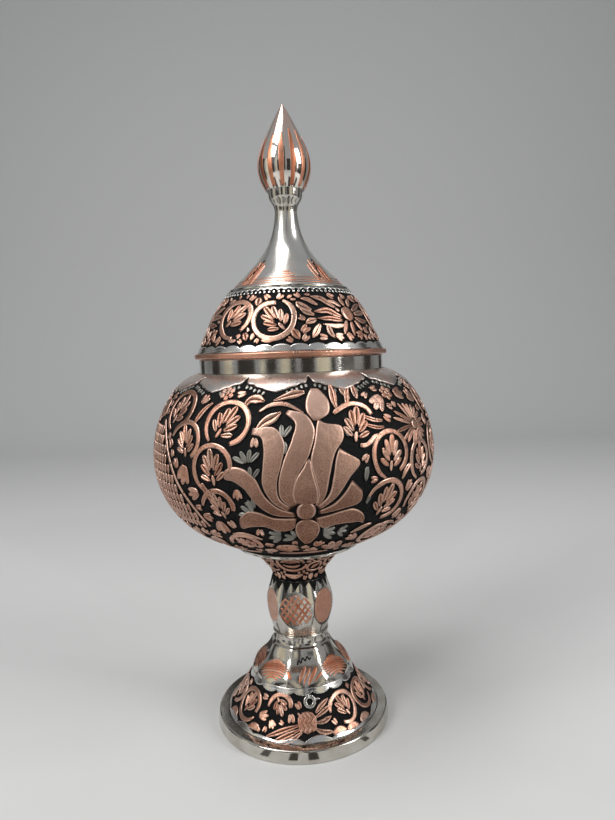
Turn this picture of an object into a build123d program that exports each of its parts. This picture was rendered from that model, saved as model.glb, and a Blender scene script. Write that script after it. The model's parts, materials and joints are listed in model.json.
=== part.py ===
from build123d import *
from math import sin
import os

os.makedirs("parts", exist_ok=True)

# A lidded candy dish of spun and chased copper on a tall foot.
# The foot, stem and bowl are a stack of hollow pieces drawn together by one bolt.
# The lid is a dome, a spire and a bud, and sits in the bowl's collar.

# Metal and fits
copper = 0.9  # wall of a plain spun shell
relief = 0.7  # how far the chased pattern stands above its sunk ground
chased = copper + relief  # wall of a chased shell, measured over the pattern
band = 1.2  # wall of the turned rings
lid_rest = 0.3  # lid to collar, up and down
lid_play = 0.4  # lid's locating ring to collar, all round
bolt_play = 0.3  # bolt to the holes that it passes through
thread_play = 0.1  # screw to its thread or bore

# Foot
foot_r = 43.4
foot_rim_h = 6.0
foot_draft = 0.8  # how far the rim's side leans in
foot_lip = 3.4  # width of the turned-in edge that meets the table
foot_ledge = 2.5  # how far the ledge runs in under the skirt
skirt_r = 38.1
skirt_top_r = 24.6
skirt_h = 19.8
skirt_dip = 0.6  # how far the skirt's side is hollow
trumpet_step = 0.3  # how far the trumpet's edge overhangs the skirt
trumpet_h = 18.4
waist_r = 13.05

# Stem
bead_h = 1.2
bead_proud = 0.9
knop_r = 16.76
knop_neck_r = 13.2
knop_h = 27.6
knop_wall = 1.9
knop_flats = 6
knop_flat_in = 2.15  # depth of each round flat
knop_turn = -8.0  # degrees from the front to the nearest flat
cup_h = 17.0
cup_step = 2.4  # seam ring past the cup's edge
seam_h = 1.6
seam_in = 0.4  # seam ring inside the bowl's seat

# Bowl
bowl_r = 67.8
bowl_seat_r = 31.4
bowl_below_h = 44.4  # from the seat to the widest ring
bowl_above_h = 39.3  # from the widest ring to the mouth
bowl_floor = 1.4
seat_land = 2.0  # height of the plain band over the bowl's seat
border_h = 5.0  # height of the plain border under the mouth
collar_r = 44.3
collar_h = 6.3
mouth_land = 0.6  # the bowl's shoulder outside the collar
mouth_lip = 1.3  # the bowl's edge inside the collar

# Lid
locator_h = 4.4
rim_overhang = 2.0  # lid's rim past the collar
lid_rim_h = 2.4
dome_step = 1.3  # lid's rim past the dome
dome_top_r = 29.4
dome_h = 28.3
dome_foot_h = 3.0  # height of the plain band at the dome's foot
dome_head_h = 1.6  # and at its top
lip_in = 0.8  # lip inside the dome's top edge
lip_w = 3.2
lip_h = 1.3
spire_step = 1.6  # lip past the spire
neck_r = 5.34
spire_h = 36.3

# Finial
plug_flange_h = 0.6
plug_h = 8.0
finial_cup_r = 8.3
finial_cup_h = 9.5
bud_r = 12.55
bud_base_r = 9.0
bud_tip_r = 0.3
bud_h = 39.7
bud_wall = 1.4
stud_r = 1.5
stud_into_bud = 7.0
stud_below_plug = 2.0

# Tie bolt, nut and washers
bolt_r = 3.0
bolt_head_r = 7.0
bolt_head_h = 2.8
bolt_slot_w = 1.4
bolt_slot_depth = 1.1
bolt_end = 2.0  # thread that shows past the nut
washer_h = 1.0
bowl_washer_r = 10.0
foot_washer_r = 9.0
nut_flats = 10.0
nut_h = 5.0

# Chased forms on the bowl and the dome
stem_w = 2.2  # stem of a scroll's ring
leaf_reach = 0.62  # half length and half width of the leaf in a ring, as shares of the ring's radius
leaf_spread = 0.42
flower_r = 8.6
flower_core_r = 3.6
flower_rays = 9
form_depth = 14.0  # how far under the surface a form's prism begins
hub_r = 4.2
lotus_turn = 3.4  # degrees from the front, as all turns are
lotus_up = 0.424  # share of the way up the bowl's side, from the seat to the mouth

# Radii that follow from the piece each one sits on or holds
trumpet_r = skirt_top_r + trumpet_step
seam_r = bowl_seat_r - seam_in
cup_r = seam_r - cup_step
mouth_land_r = collar_r + mouth_land
mouth_hole_r = collar_r - band - mouth_lip
locator_r = collar_r - band - lid_play
lid_rim_r = collar_r + rim_overhang
dome_r = lid_rim_r - dome_step
lip_r = dome_top_r - lip_in
spire_r = lip_r - spire_step

# Levels, each piece standing on the one below it
skirt_z = foot_rim_h
trumpet_z = skirt_z + skirt_h
bead_z = trumpet_z + trumpet_h
knop_z = bead_z + bead_h
cup_z = knop_z + knop_h
seam_z = cup_z + cup_h
bowl_z = seam_z + seam_h
bowl_wide_z = bowl_z + bowl_below_h
mouth_z = bowl_wide_z + bowl_above_h
lid_z = mouth_z + collar_h + lid_rest
dome_z = lid_z + lid_rim_h
lip_z = dome_z + dome_h
spire_z = lip_z + lip_h
plug_z = spire_z + spire_h
finial_z = plug_z + plug_flange_h
bud_z = finial_z + finial_cup_h
foot_washer_z = bead_z - band - washer_h
nut_z = foot_washer_z - nut_h
bolt_low_z = nut_z - bolt_end
washer_z = bowl_z + bowl_floor
head_z = washer_z + washer_h

# Share of a smooth outline at which its inside is set out
wall_steps = [step / 12 for step in range(13)]


def outline(start, end, *shares):
    """Points from start to end, each by its share of the way across and of the way up."""
    (r_start, z_start), (r_end, z_end) = start, end
    way = [(r_start + (r_end - r_start) * a, z_start + (z_end - z_start) * u) for a, u in shares]
    return [start, *way, end]


def inward(outside, share, wall):
    """The point level with a share of an outside line, one wall thickness in from the surface."""
    return (outside.position_at(share).X - wall / abs(outside.tangent_at(share).Y),
            outside.position_at(share).Y)


def wall_of(outside, wall):
    """Closes an outside line into the section of an even wall with level ends."""
    inside = Spline(*[inward(outside, share, wall) for share in wall_steps])
    Line(outside @ 0, inside @ 0)
    Line(outside @ 1, inside @ 1)


def ring_section(outer_r, width, low_z, height):
    """The section of a flat ring."""
    with Locations((outer_r - width, low_z)):
        Rectangle(width, height, align=(Align.MIN, Align.MIN))


def skin_section(side, low_z, high_z):
    """The section of the layer that chasing sinks, along an outline and between two levels."""
    trace(side, 2 * relief)
    with Locations((0, low_z)):
        Rectangle(4 * foot_r, high_z - low_z, align=(Align.CENTER, Align.MIN), mode=Mode.INTERSECT)


def on_side(side, length):
    """Radius and height at a length up an outline."""
    place = side.position_at(length, position_mode=PositionMode.LENGTH)
    return place.X, place.Y


def facing(side, turn, share):
    """The plane under a place on a turned piece, at degrees from the front and a share up its side."""
    radius, height = on_side(side, side.length * share)
    along = side.tangent_at(side.length * share, position_mode=PositionMode.LENGTH)
    out = Vector(0, -1, 0).rotate(Axis.Z, turn)
    outward = out * along.Y - Vector(0, 0, along.X)
    place = Plane(origin=out * radius + Vector(0, 0, height), x_dir=Vector(0, 0, 1).cross(out), z_dir=outward)
    return place.offset(-form_depth)


def scroll_section(radius, lean):
    """A ring of stem with a leaf inside."""
    Circle(radius + stem_w / 2)
    Circle(radius - stem_w / 2, mode=Mode.SUBTRACT)
    Ellipse(radius * leaf_spread, radius * leaf_reach, rotation=-lean)


def flower_section():
    """A flower of pointed rays."""
    corners = []
    for corner in range(2 * flower_rays):
        reach = Vector(0, flower_core_r if corner % 2 else flower_r)
        corners.append(reach.rotate(Axis.Z, corner * 180 / flower_rays))
    Polygon(*corners, align=None)


def petal_section(side, petal):
    """A petal as it is seen from the front, from points across, up and wide on the bowl's side."""
    before = [petal[0], *petal[:-1]]
    after = [*petal[1:], petal[-1]]
    edges = []
    for sign in (-1, 1):
        edge = []
        for (x, y, width), (x_before, y_before, _), (x_after, y_after, _) in zip(petal, before, after):
            beside = Vector(y_before - y_after, x_after - x_before).normalized() * sign * width / 2
            radius, height = on_side(side, side.length * lotus_up + y + beside.Y)
            edge.append((radius * sin((x + beside.X) / radius), height))
        edges.append(edge)
    with BuildLine(Plane.XY) as petal_line:
        left = Spline(*edges[0])
        right = Spline(*edges[1])
        Line(left @ 0, right @ 0)
        Line(left @ 1, right @ 1)
    make_face(petal_line.edges())


# Foot rim: a rolled channel that rests on the table and carries the skirt on its ledge
with BuildPart() as foot_rim:
    with BuildSketch(Plane.XZ):
        with BuildLine():
            Polyline(
                (foot_r - foot_lip, 0),
                (foot_r, 0),
                (foot_r - foot_draft, foot_rim_h),
                (skirt_r - foot_ledge, foot_rim_h),
                (skirt_r - foot_ledge, foot_rim_h - band),
                (foot_r - foot_draft - band, foot_rim_h - band),
                (foot_r - band, band),
                (foot_r - foot_lip, band),
                close=True,
            )
        rim_face = make_face()
        outer_corners = rim_face.vertices().group_by(Axis.X)[-1]
        fillet(outer_corners, band / 2)
    revolve(axis=Axis.Z)
    top_edge = foot_rim.edges().filter_by(GeomType.CIRCLE).group_by(Axis.Z)[-1].sort_by(SortBy.RADIUS)[-1]
    fillet(top_edge, band * 0.8)

# Foot skirt: a chased cone with a slightly hollow side
with BuildPart() as foot_skirt:
    with BuildSketch(Plane.XZ):
        with BuildLine():
            skirt_side = SagittaArc((skirt_r, skirt_z), (skirt_top_r, trumpet_z), skirt_dip)
            wall_of(skirt_side, chased)
        make_face()
    revolve(axis=Axis.Z)

# Foot trumpet: a polished flare whose closed top is drilled for the tie bolt
trumpet_points = outline(
    (trumpet_r, trumpet_z), (waist_r, bead_z), (0.05, 0.12), (0.36, 0.34), (0.66, 0.55), (0.88, 0.77)
)
with BuildPart() as foot_trumpet:
    with BuildSketch(Plane.XZ):
        with BuildLine():
            trumpet_side = Spline(*trumpet_points, tangents=((0, 1), (0, 1)))
            wall_of(trumpet_side, copper)
        make_face()
        ring_section(waist_r - copper / 2, waist_r - copper / 2, bead_z - band, band)
    revolve(axis=Axis.Z)
    with Locations((0, 0, bead_z)):
        Hole(bolt_r + bolt_play, depth=band)

# Waist bead: a thin ring between the trumpet and the knop
with BuildPart() as waist_bead:
    with BuildSketch(Plane.XZ):
        ring_section(waist_r + bead_proud, knop_wall + bead_proud + copper, bead_z, bead_h)
    revolve(axis=Axis.Z)
    fillet(waist_bead.faces().filter_by(GeomType.CYLINDER).sort_by(SortBy.RADIUS)[-1].edges(), bead_h * 0.4)

# Stem knop: a hollow barrel with round flats
with BuildPart() as stem_knop:
    with BuildSketch(Plane.XZ):
        with BuildLine():
            knop_low = (knop_neck_r, knop_z)
            knop_wide = (knop_r, knop_z + knop_h / 2)
            knop_high = (knop_neck_r, cup_z)
            knop_side = Spline(
                *outline(knop_low, knop_wide, (0.53, 0.4)),
                *outline(knop_wide, knop_high, (0.5, 0.6))[1:],
            )
            hollow_low = Line(knop_side @ 0, (knop_neck_r - knop_wall, knop_z))
            hollow_high = Line(knop_side @ 1, (knop_neck_r - knop_wall, cup_z))
            ThreePointArc(
                hollow_low @ 1,
                (knop_r - knop_flat_in - band, knop_z + knop_h / 2),
                hollow_high @ 1,
            )
        make_face()
    revolve(axis=Axis.Z)
    with Locations((0, 0, knop_z + knop_h / 2)):
        with PolarLocations(knop_r - knop_flat_in, knop_flats, start_angle=knop_turn - 90):
            Box(
                knop_r,
                knop_r * 2,
                knop_h,
                align=(Align.MIN, Align.CENTER, Align.CENTER),
                mode=Mode.SUBTRACT,
            )

# Stem cup: a chased flare that spreads out under the bowl
cup_points = outline(
    (knop_neck_r, cup_z), (cup_r, seam_z), (0.04, 0.18), (0.22, 0.41), (0.44, 0.65), (0.76, 0.88)
)
with BuildPart() as stem_cup:
    with BuildSketch(Plane.XZ):
        with BuildLine():
            cup_side = Spline(*cup_points)
            wall_of(cup_side, chased)
        make_face()
    revolve(axis=Axis.Z)

# Bowl seam ring: a bright ring in the corner between the cup and the bowl
with BuildPart() as bowl_seam_ring:
    with BuildSketch(Plane.XZ):
        ring_section(seam_r, cup_step * 2 + seam_in, seam_z, seam_h)
    revolve(axis=Axis.Z)
    seam_side = bowl_seam_ring.faces().filter_by(GeomType.CYLINDER).sort_by(SortBy.RADIUS)[-1]
    fillet(seam_side.edges(), seam_h * 0.4)

# Bowl's outline: a straight rise from the seat, round at the belly and closer at the crown
bowl_seat, rise_end, bowl_wide = outline((bowl_seat_r, bowl_z), (bowl_r, bowl_wide_z), (0.31, 0.131))
crown_foot, bowl_mouth = outline(bowl_wide, (mouth_land_r, mouth_z), (0.472, 0.799))[1:]
with BuildLine() as bowl_line:
    Line(bowl_seat, rise_end)
    TangentArc(bowl_wide, rise_end, tangent=(0, -1))
    shoulder = TangentArc(bowl_wide, crown_foot, tangent=(0, 1))
    TangentArc(crown_foot, bowl_mouth, tangent=shoulder % 1)
bowl_side = bowl_line.wire()

# The lotus, in points across, up and wide from its hub, in mm on the bowl's side
lotus_petals = (
    ((-3.5, 1.5, 1.0), (-7.5, 13.5, 5.5), (-1.0, 28.5, 7.0), (0.0, 35.0, 6.0), (-2.0, 39.0, 3.0)),
    ((-3.5, 0.5, 1.0), (-11.0, 6.5, 4.5), (-14.5, 14.0, 6.0), (-12.5, 26.0, 7.0), (-15.0, 33.0, 3.0)),
    ((-4.0, -1.0, 1.5), (-16.5, 5.5, 6.5), (-25.0, 15.5, 6.0), (-30.5, 16.0, 3.0)),
    ((-3.0, -3.0, 1.0), (-9.5, -6.0, 5.5), (-16.5, -4.5, 5.5), (-24.5, -4.5, 5.0)),
    ((0.5, 2.5, 2.0), (0.0, 9.5, 9.0), (0.5, 17.0, 4.5), (1.0, 20.0, 1.0)),
    ((4.5, 1.5, 1.0), (6.5, 10.0, 6.0), (7.0, 22.0, 9.0), (10.5, 32.5, 8.0), (11.0, 36.0, 4.0)),
    ((4.5, 0.5, 1.0), (13.0, 10.0, 6.5), (17.5, 20.0, 8.5), (15.5, 25.0, 4.0)),
    ((4.5, -1.5, 1.0), (14.5, 2.0, 4.5), (20.5, 8.5, 6.0), (20.0, 11.0, 2.0)),
    ((4.5, -5.0, 1.0), (15.0, -4.5, 6.0), (20.5, -5.5, 7.0), (24.0, -7.5, 3.5)),
    ((0.5, -4.5, 1.5), (0.5, -10.5, 9.0), (0.5, -15.5, 6.0), (1.0, -20.0, 1.0)),
    ((5.5, 36.5, 2.0), (6.5, 43.5, 9.5), (6.0, 48.0, 5.5), (4.5, 51.0, 1.0)),
)

# Scrolls of the bowl's front half: turn, share up the side, ring's radius and the leaf's lean
bowl_scrolls = (
    (-24.9, 0.762, 10.0, 25), (-52.0, 0.814, 9.0, 20), (-43.4, 0.668, 8.2, -12), (-29.8, 0.576, 9.6, -10),
    (24.3, 0.736, 9.6, 12), (36.8, 0.610, 9.4, 5), (53.8, 0.562, 7.9, 0), (35.6, 0.425, 9.2, 28),
    (56.6, 0.393, 8.6, 18), (74.5, 0.788, 8.6, -15), (71.0, 0.607, 8.6, 20), (75.0, 0.434, 8.8, -20),
    (90.5, 0.538, 8.2, 10), (91.0, 0.706, 7.2, -10), (74.5, 0.247, 7.0, 10), (94.0, 0.273, 7.4, -20),
    (-28.8, 0.423, 7.2, -20), (-24.0, 0.243, 6.4, -50), (37.5, 0.245, 6.4, 55), (57.0, 0.187, 6.0, 40),
)
flower_place = (53.2, 0.699)

# Panel of scales: its middle as turn and share up the side, and its corners across and up from there
panel_place = (-66.0, 0.55)
panel_corners = (
    (26.3, -23.9), (15.7, -5.5), (6.9, 15.1), (0.0, 21.3),
    (-12.1, 21.3), (-17.5, 4.3), (-12.8, -7.7), (8.3, -23.8),
)

# What chasing sinks round the bowl's forms
with BuildPart() as bowl_sunk:
    with BuildSketch(Plane.XZ):
        skin_section(bowl_side, bowl_z + seat_land, mouth_z - border_h)
    revolve(axis=Axis.Z)
    for half_turn in (0, 180):
        lotus_out = Vector(0, -1, 0).rotate(Axis.Z, lotus_turn + half_turn)
        with BuildSketch(Plane(origin=(0, 0, 0), x_dir=Vector(0, 0, 1).cross(lotus_out), z_dir=lotus_out)):
            for petal in lotus_petals:
                petal_section(bowl_side, petal)
            with Locations((0, on_side(bowl_side, bowl_side.length * lotus_up)[1])):
                Circle(hub_r)
    extrude(amount=bowl_r + copper, clean=False, mode=Mode.SUBTRACT)
    for half_turn in (0, 180):
        for turn, share, radius, lean in bowl_scrolls:
            with BuildSketch(facing(bowl_side, turn + half_turn, share)):
                scroll_section(radius, lean)
        flower_turn, flower_share = flower_place
        with BuildSketch(facing(bowl_side, flower_turn + half_turn, flower_share)):
            flower_section()
        panel_turn, panel_share = panel_place
        with BuildSketch(facing(bowl_side, panel_turn + half_turn, panel_share)):
            Polygon(*panel_corners, align=None)
    extrude(amount=form_depth * 2, clean=False, mode=Mode.SUBTRACT)

# Bowl: one raised shell, flat where it is bolted down, its mouth turned in to carry the collar
with BuildPart() as bowl_shell:
    with BuildSketch(Plane.XZ):
        with BuildLine():
            add(bowl_side)
            offset(amount=chased, side=Side.LEFT)
        make_face()
        ring_section(bowl_seat_r, bowl_seat_r, bowl_z, bowl_floor)
        ring_section(mouth_land_r, mouth_land_r - mouth_hole_r, mouth_z - chased, chased)
    revolve(axis=Axis.Z)
    with Locations((0, 0, washer_z)):
        Hole(bolt_r + bolt_play, depth=bowl_floor)
    add(bowl_sunk.part, clean=False, mode=Mode.SUBTRACT)

# Mouth collar: a polished upright ring on the bowl's mouth
with BuildPart() as mouth_collar:
    with BuildSketch(Plane.XZ):
        ring_section(collar_r, band, mouth_z, collar_h)
    revolve(axis=Axis.Z)
    fillet(mouth_collar.edges().group_by(Axis.Z)[-1], band / 3)

# Tie bolt: a low slotted head in the bowl, its shank down through the hollow stem
with BuildPart() as stem_bolt:
    with BuildSketch(Plane.XY.offset(bolt_low_z)):
        Circle(bolt_r)
    extrude(amount=head_z - bolt_low_z)
    with BuildSketch(Plane.XY.offset(head_z)):
        Circle(bolt_head_r)
    extrude(amount=bolt_head_h)
    fillet(stem_bolt.edges().group_by(Axis.Z)[-1], bolt_head_h * 0.8)
    with BuildSketch(Plane.XY.offset(head_z + bolt_head_h)):
        Rectangle(bolt_head_r * 2, bolt_slot_w)
    extrude(amount=-bolt_slot_depth, mode=Mode.SUBTRACT)
    chamfer(stem_bolt.edges().group_by(Axis.Z)[0], bolt_r / 6)

# Bowl washer: spreads the bolt's pull over the bowl's floor
with BuildPart() as bowl_washer:
    with BuildSketch(Plane.XY.offset(washer_z)):
        Circle(bowl_washer_r)
        Circle(bolt_r + bolt_play, mode=Mode.SUBTRACT)
    extrude(amount=washer_h)

# Foot washer: bears up against the trumpet's closed top
with BuildPart() as foot_washer:
    with BuildSketch(Plane.XY.offset(foot_washer_z)):
        Circle(foot_washer_r)
        Circle(bolt_r + bolt_play, mode=Mode.SUBTRACT)
    extrude(amount=washer_h)

# Stem nut: a hexagon nut that draws the stack together
with BuildPart() as stem_nut:
    with BuildSketch(Plane.XY.offset(nut_z)):
        RegularPolygon(radius=nut_flats / 2, side_count=6, major_radius=False)
        Circle(bolt_r + thread_play, mode=Mode.SUBTRACT)
    extrude(amount=nut_h)

# Lid locator: a ring under the lid that drops inside the collar
with BuildPart() as lid_locator:
    with BuildSketch(Plane.XZ):
        ring_section(locator_r, band, lid_z - locator_h, locator_h)
    revolve(axis=Axis.Z)
    fillet(lid_locator.edges().group_by(Axis.Z)[0], band / 3)

# Lid rim: a flat ring that overhangs the collar
with BuildPart() as lid_rim:
    with BuildSketch(Plane.XZ):
        ring_section(lid_rim_r, lid_rim_r - locator_r + band, lid_z, lid_rim_h)
    revolve(axis=Axis.Z)
    fillet(lid_rim.faces().filter_by(GeomType.CYLINDER).sort_by(SortBy.RADIUS)[-1].edges(), lid_rim_h * 0.3)

# Scrolls and flower of a third of the dome, as on the bowl
dome_points = outline(
    (dome_r, dome_z), (dome_top_r, lip_z), (0.1, 0.13), (0.27, 0.34), (0.515, 0.625), (0.77, 0.837)
)
with BuildLine() as dome_line:
    Spline(*dome_points)
dome_side = dome_line.wire()
dome_scrolls = ((-38.6, 0.53, 7.8, 35), (-9.2, 0.52, 8.2, -30))
dome_flower = (39.0, 0.53)
dome_repeats = 3

# What chasing sinks round the dome's forms
with BuildPart() as dome_sunk:
    with BuildSketch(Plane.XZ):
        skin_section(dome_side, dome_z + dome_foot_h, lip_z - dome_head_h)
    revolve(axis=Axis.Z)
    for repeat in range(dome_repeats):
        around = repeat * 360 / dome_repeats
        for turn, share, radius, lean in dome_scrolls:
            with BuildSketch(facing(dome_side, turn + around, share)):
                scroll_section(radius, lean)
        flower_turn, flower_share = dome_flower
        with BuildSketch(facing(dome_side, flower_turn + around, flower_share)):
            flower_section()
    extrude(amount=form_depth * 2, clean=False, mode=Mode.SUBTRACT)

# Lid dome: a chased shell that turns out a little over the rim
with BuildPart() as lid_dome:
    with BuildSketch(Plane.XZ):
        with BuildLine():
            add(dome_side)
            wall_of(dome_side, chased)
        make_face()
    revolve(axis=Axis.Z)
    add(dome_sunk.part, clean=False, mode=Mode.SUBTRACT)

# Spire lip: the thin ring between the dome and the spire
with BuildPart() as spire_lip:
    with BuildSketch(Plane.XZ):
        ring_section(lip_r, lip_w, lip_z, lip_h)
    revolve(axis=Axis.Z)
    fillet(spire_lip.faces().filter_by(GeomType.CYLINDER).sort_by(SortBy.RADIUS)[-1].edges(), lip_h * 0.4)

# Lid spire: a polished hollow spire, drawn in to a narrow neck
spire_points = outline(
    (spire_r, spire_z), (neck_r, plug_z), (0.2585, 0.168), (0.6, 0.388), (0.794, 0.554), (0.94, 0.774)
)
with BuildPart() as lid_spire:
    with BuildSketch(Plane.XZ):
        with BuildLine():
            spire_side = Spline(*spire_points)
            wall_of(spire_side, copper)
        make_face()
    revolve(axis=Axis.Z)

# Neck plug: fills the spire's end and takes the finial's stud
with BuildPart() as neck_plug:
    with BuildSketch(Plane.XY.offset(plug_z)):
        Circle(neck_r)
    extrude(amount=plug_flange_h)
    with BuildSketch(Plane.XY.offset(plug_z)):
        Circle(neck_r - copper - thread_play)
    extrude(amount=-plug_h)
    with Locations((0, 0, finial_z)):
        Hole(stud_r + thread_play, depth=plug_h + plug_flange_h)

# Finial cup: a turned calyx, narrow at the neck and round under the bud
finial_points = outline(
    (neck_r, finial_z), (finial_cup_r, bud_z), (0.06, 0.13), (0.32, 0.34), (0.76, 0.55), (0.93, 0.76)
)
with BuildPart() as finial_cup:
    with BuildSketch(Plane.XZ):
        with BuildLine():
            finial_side = Spline(*finial_points)
            Polyline(finial_side @ 1, (0, bud_z), (0, finial_z), finial_side @ 0)
        make_face()
    revolve(axis=Axis.Z)
    with Locations((0, 0, bud_z)):
        Hole(stud_r + thread_play, depth=finial_cup_h)

# Finial bud: a hollow pointed bud with a solid foot for the stud
bud_wide = (bud_r, bud_z + bud_h * 0.257)
bud_points = outline((bud_base_r, bud_z), bud_wide, (0.55, 0.36))
bud_points += outline(bud_wide, (bud_tip_r, bud_z + bud_h), (0.094, 0.254), (0.38, 0.525), (0.714, 0.797))[1:]
with BuildPart() as finial_bud:
    with BuildSketch(Plane.XZ):
        with BuildLine():
            bud_side = Spline(*bud_points)
            Polyline(bud_side @ 1, (0, bud_z + bud_h), (0, bud_z), bud_side @ 0)
        make_face()
        with BuildLine():
            hollow_side = Spline(*[inward(bud_side, share, bud_wall) for share in wall_steps[4:10]])
            Polyline(hollow_side @ 1, (0, (hollow_side @ 1).Y), (0, (hollow_side @ 0).Y), hollow_side @ 0)
        make_face(mode=Mode.SUBTRACT)
    revolve(axis=Axis.Z)
    with Locations((0, 0, bud_z + stud_into_bud)):
        Hole(stud_r + thread_play, depth=stud_into_bud)

# Finial stud: the screw that holds the cup and the bud to the neck
with BuildPart() as finial_stud:
    with BuildSketch(Plane.XY.offset(plug_z - plug_h - stud_below_plug)):
        Circle(stud_r)
    extrude(amount=plug_h + stud_below_plug + plug_flange_h + finial_cup_h + stud_into_bud)

pieces = {
    "foot_rim": foot_rim,
    "foot_skirt": foot_skirt,
    "foot_trumpet": foot_trumpet,
    "waist_bead": waist_bead,
    "stem_knop": stem_knop,
    "stem_cup": stem_cup,
    "bowl_seam_ring": bowl_seam_ring,
    "bowl_shell": bowl_shell,
    "mouth_collar": mouth_collar,
    "stem_bolt": stem_bolt,
    "bowl_washer": bowl_washer,
    "foot_washer": foot_washer,
    "stem_nut": stem_nut,
    "lid_locator": lid_locator,
    "lid_rim": lid_rim,
    "lid_dome": lid_dome,
    "spire_lip": spire_lip,
    "lid_spire": lid_spire,
    "neck_plug": neck_plug,
    "finial_cup": finial_cup,
    "finial_bud": finial_bud,
    "finial_stud": finial_stud,
}
for name, piece in pieces.items():
    piece.part.label = name
    export_step(piece.part, f"parts/{name}.step")
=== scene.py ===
import json
import math
import random

import bmesh
import bpy
import numpy as np
from mathutils import Matrix, Vector
from mathutils.kdtree import KDTree

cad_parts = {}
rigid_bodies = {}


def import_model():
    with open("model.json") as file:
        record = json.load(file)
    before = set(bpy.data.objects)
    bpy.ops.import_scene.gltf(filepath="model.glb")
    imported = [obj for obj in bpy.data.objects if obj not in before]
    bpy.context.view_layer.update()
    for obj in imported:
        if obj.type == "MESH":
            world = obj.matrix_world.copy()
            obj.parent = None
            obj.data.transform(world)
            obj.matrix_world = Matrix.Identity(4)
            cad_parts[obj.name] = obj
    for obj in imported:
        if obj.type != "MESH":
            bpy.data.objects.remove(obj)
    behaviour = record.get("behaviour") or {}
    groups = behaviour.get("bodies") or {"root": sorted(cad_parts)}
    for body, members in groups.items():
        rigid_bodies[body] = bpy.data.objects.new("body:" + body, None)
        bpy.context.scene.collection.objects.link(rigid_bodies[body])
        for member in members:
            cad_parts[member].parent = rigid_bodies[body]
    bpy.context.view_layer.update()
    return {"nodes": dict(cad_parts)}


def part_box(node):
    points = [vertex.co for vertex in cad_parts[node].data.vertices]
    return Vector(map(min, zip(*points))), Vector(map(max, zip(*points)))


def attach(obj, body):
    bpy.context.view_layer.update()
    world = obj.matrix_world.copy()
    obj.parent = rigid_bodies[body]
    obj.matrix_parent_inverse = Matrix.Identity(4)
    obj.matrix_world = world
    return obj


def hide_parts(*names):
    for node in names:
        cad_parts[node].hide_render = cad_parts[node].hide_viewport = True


for leftover in list(bpy.data.objects):
    bpy.data.objects.remove(leftover)

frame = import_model()

# Camera
# The dish is seen from a little above its rim and from close by, as by someone who sits at the table.
# The camera leans a little, as it was held by hand.
camera_place = Vector((0.0, -0.3043, 0.1841))
camera_pitch = math.radians(5.42)
camera_yaw = math.radians(1.35)
camera_roll = math.radians(-1.93)
camera = bpy.data.objects.new("camera", bpy.data.cameras.new("camera"))
bpy.context.scene.collection.objects.link(camera)
ahead = Vector((
    math.sin(camera_yaw) * math.cos(camera_pitch),
    math.cos(camera_yaw) * math.cos(camera_pitch),
    -math.sin(camera_pitch),
))
level = Vector((math.cos(camera_yaw), -math.sin(camera_yaw), 0.0))
above = level.cross(ahead)
right = level * math.cos(camera_roll) + above * math.sin(camera_roll)
up = above * math.cos(camera_roll) - level * math.sin(camera_roll)
camera.matrix_world = Matrix.Translation(camera_place) @ Matrix((right, up, -ahead)).transposed().to_4x4()
camera.data.sensor_width = 36.0
camera.data.lens = 27.22
camera.data.clip_start = 0.01
bpy.context.scene.camera = camera

# Foot rim
# A rolled copper channel, tinned and polished, which rests on the table and carries the skirt.
# The tin is bright, with soft clouds and the fine rings that the polishing lathe left.
mm = 0.001


def join(tree, socket, value):
    """Links a node's socket to another, or sets it."""
    if isinstance(value, bpy.types.NodeSocket):
        tree.links.new(value, socket)
    else:
        socket.default_value = value


def node(tree, kind, settings=(), **inputs):
    """Adds a shader node with its settings and its inputs by name."""
    made = tree.nodes.new("ShaderNode" + kind)
    for setting, value in settings:
        setattr(made, setting, value)
    for name, value in inputs.items():
        join(tree, made.inputs[name.replace("_", " ")], value)
    return made


def shades(tree, share, *stops):
    """Colours or greys set out along a share from 0 to 1."""
    ramp = node(tree, "ValToRGB", Fac=share)
    marks = ramp.color_ramp.elements
    while len(marks) < len(stops):
        marks.new(0.5)
    for mark, (place, colour) in zip(marks, stops):
        mark.position = place
        mark.color = (*colour, 1.0) if isinstance(colour, tuple) else (colour, colour, colour, 1.0)
    return ramp.outputs["Color"]


def sum_of(tree, operation, first, second):
    """One step of arithmetic on two values."""
    made = node(tree, "Math", [("operation", operation)])
    join(tree, made.inputs[0], first)
    join(tree, made.inputs[1], second)
    return made.outputs[0]


def blend(tree, share, low, high):
    """A colour between two, by a share."""
    made = node(tree, "Mix", [("data_type", "RGBA")])
    join(tree, made.inputs[0], share)
    for socket, colour in ((made.inputs[6], low), (made.inputs[7], high)):
        join(tree, socket, (*colour, 1.0) if isinstance(colour, tuple) else colour)
    return made.outputs[2]


def place_on(tree):
    """The place on a piece, in metres, that a pattern follows."""
    return node(tree, "TexCoord").outputs["Object"]


def height_on(tree):
    """The height of that place above the table, in metres."""
    return node(tree, "SeparateXYZ", Vector=place_on(tree)).outputs["Z"]


def mottle(tree, size, detail=3.0):
    """Soft clouds with patches about that many metres across."""
    return node(tree, "TexNoise", Vector=place_on(tree), Scale=1 / size, Detail=detail).outputs["Fac"]


def lathe_lines(tree, size):
    """Fine even rings round the axis, as a lathe leaves them."""
    one_way = [("noise_dimensions", "1D")]
    return node(tree, "TexNoise", one_way, W=height_on(tree), Scale=1 / size, Detail=2.0).outputs["Fac"]


def dented(tree, height, depth, strength=1.0, under=None):
    """A fine surface relief, that many metres deep."""
    made = node(tree, "Bump", Height=height, Distance=depth, Strength=strength)
    if under is not None:
        tree.links.new(under, made.inputs["Normal"])
    return made.outputs["Normal"]


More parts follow.
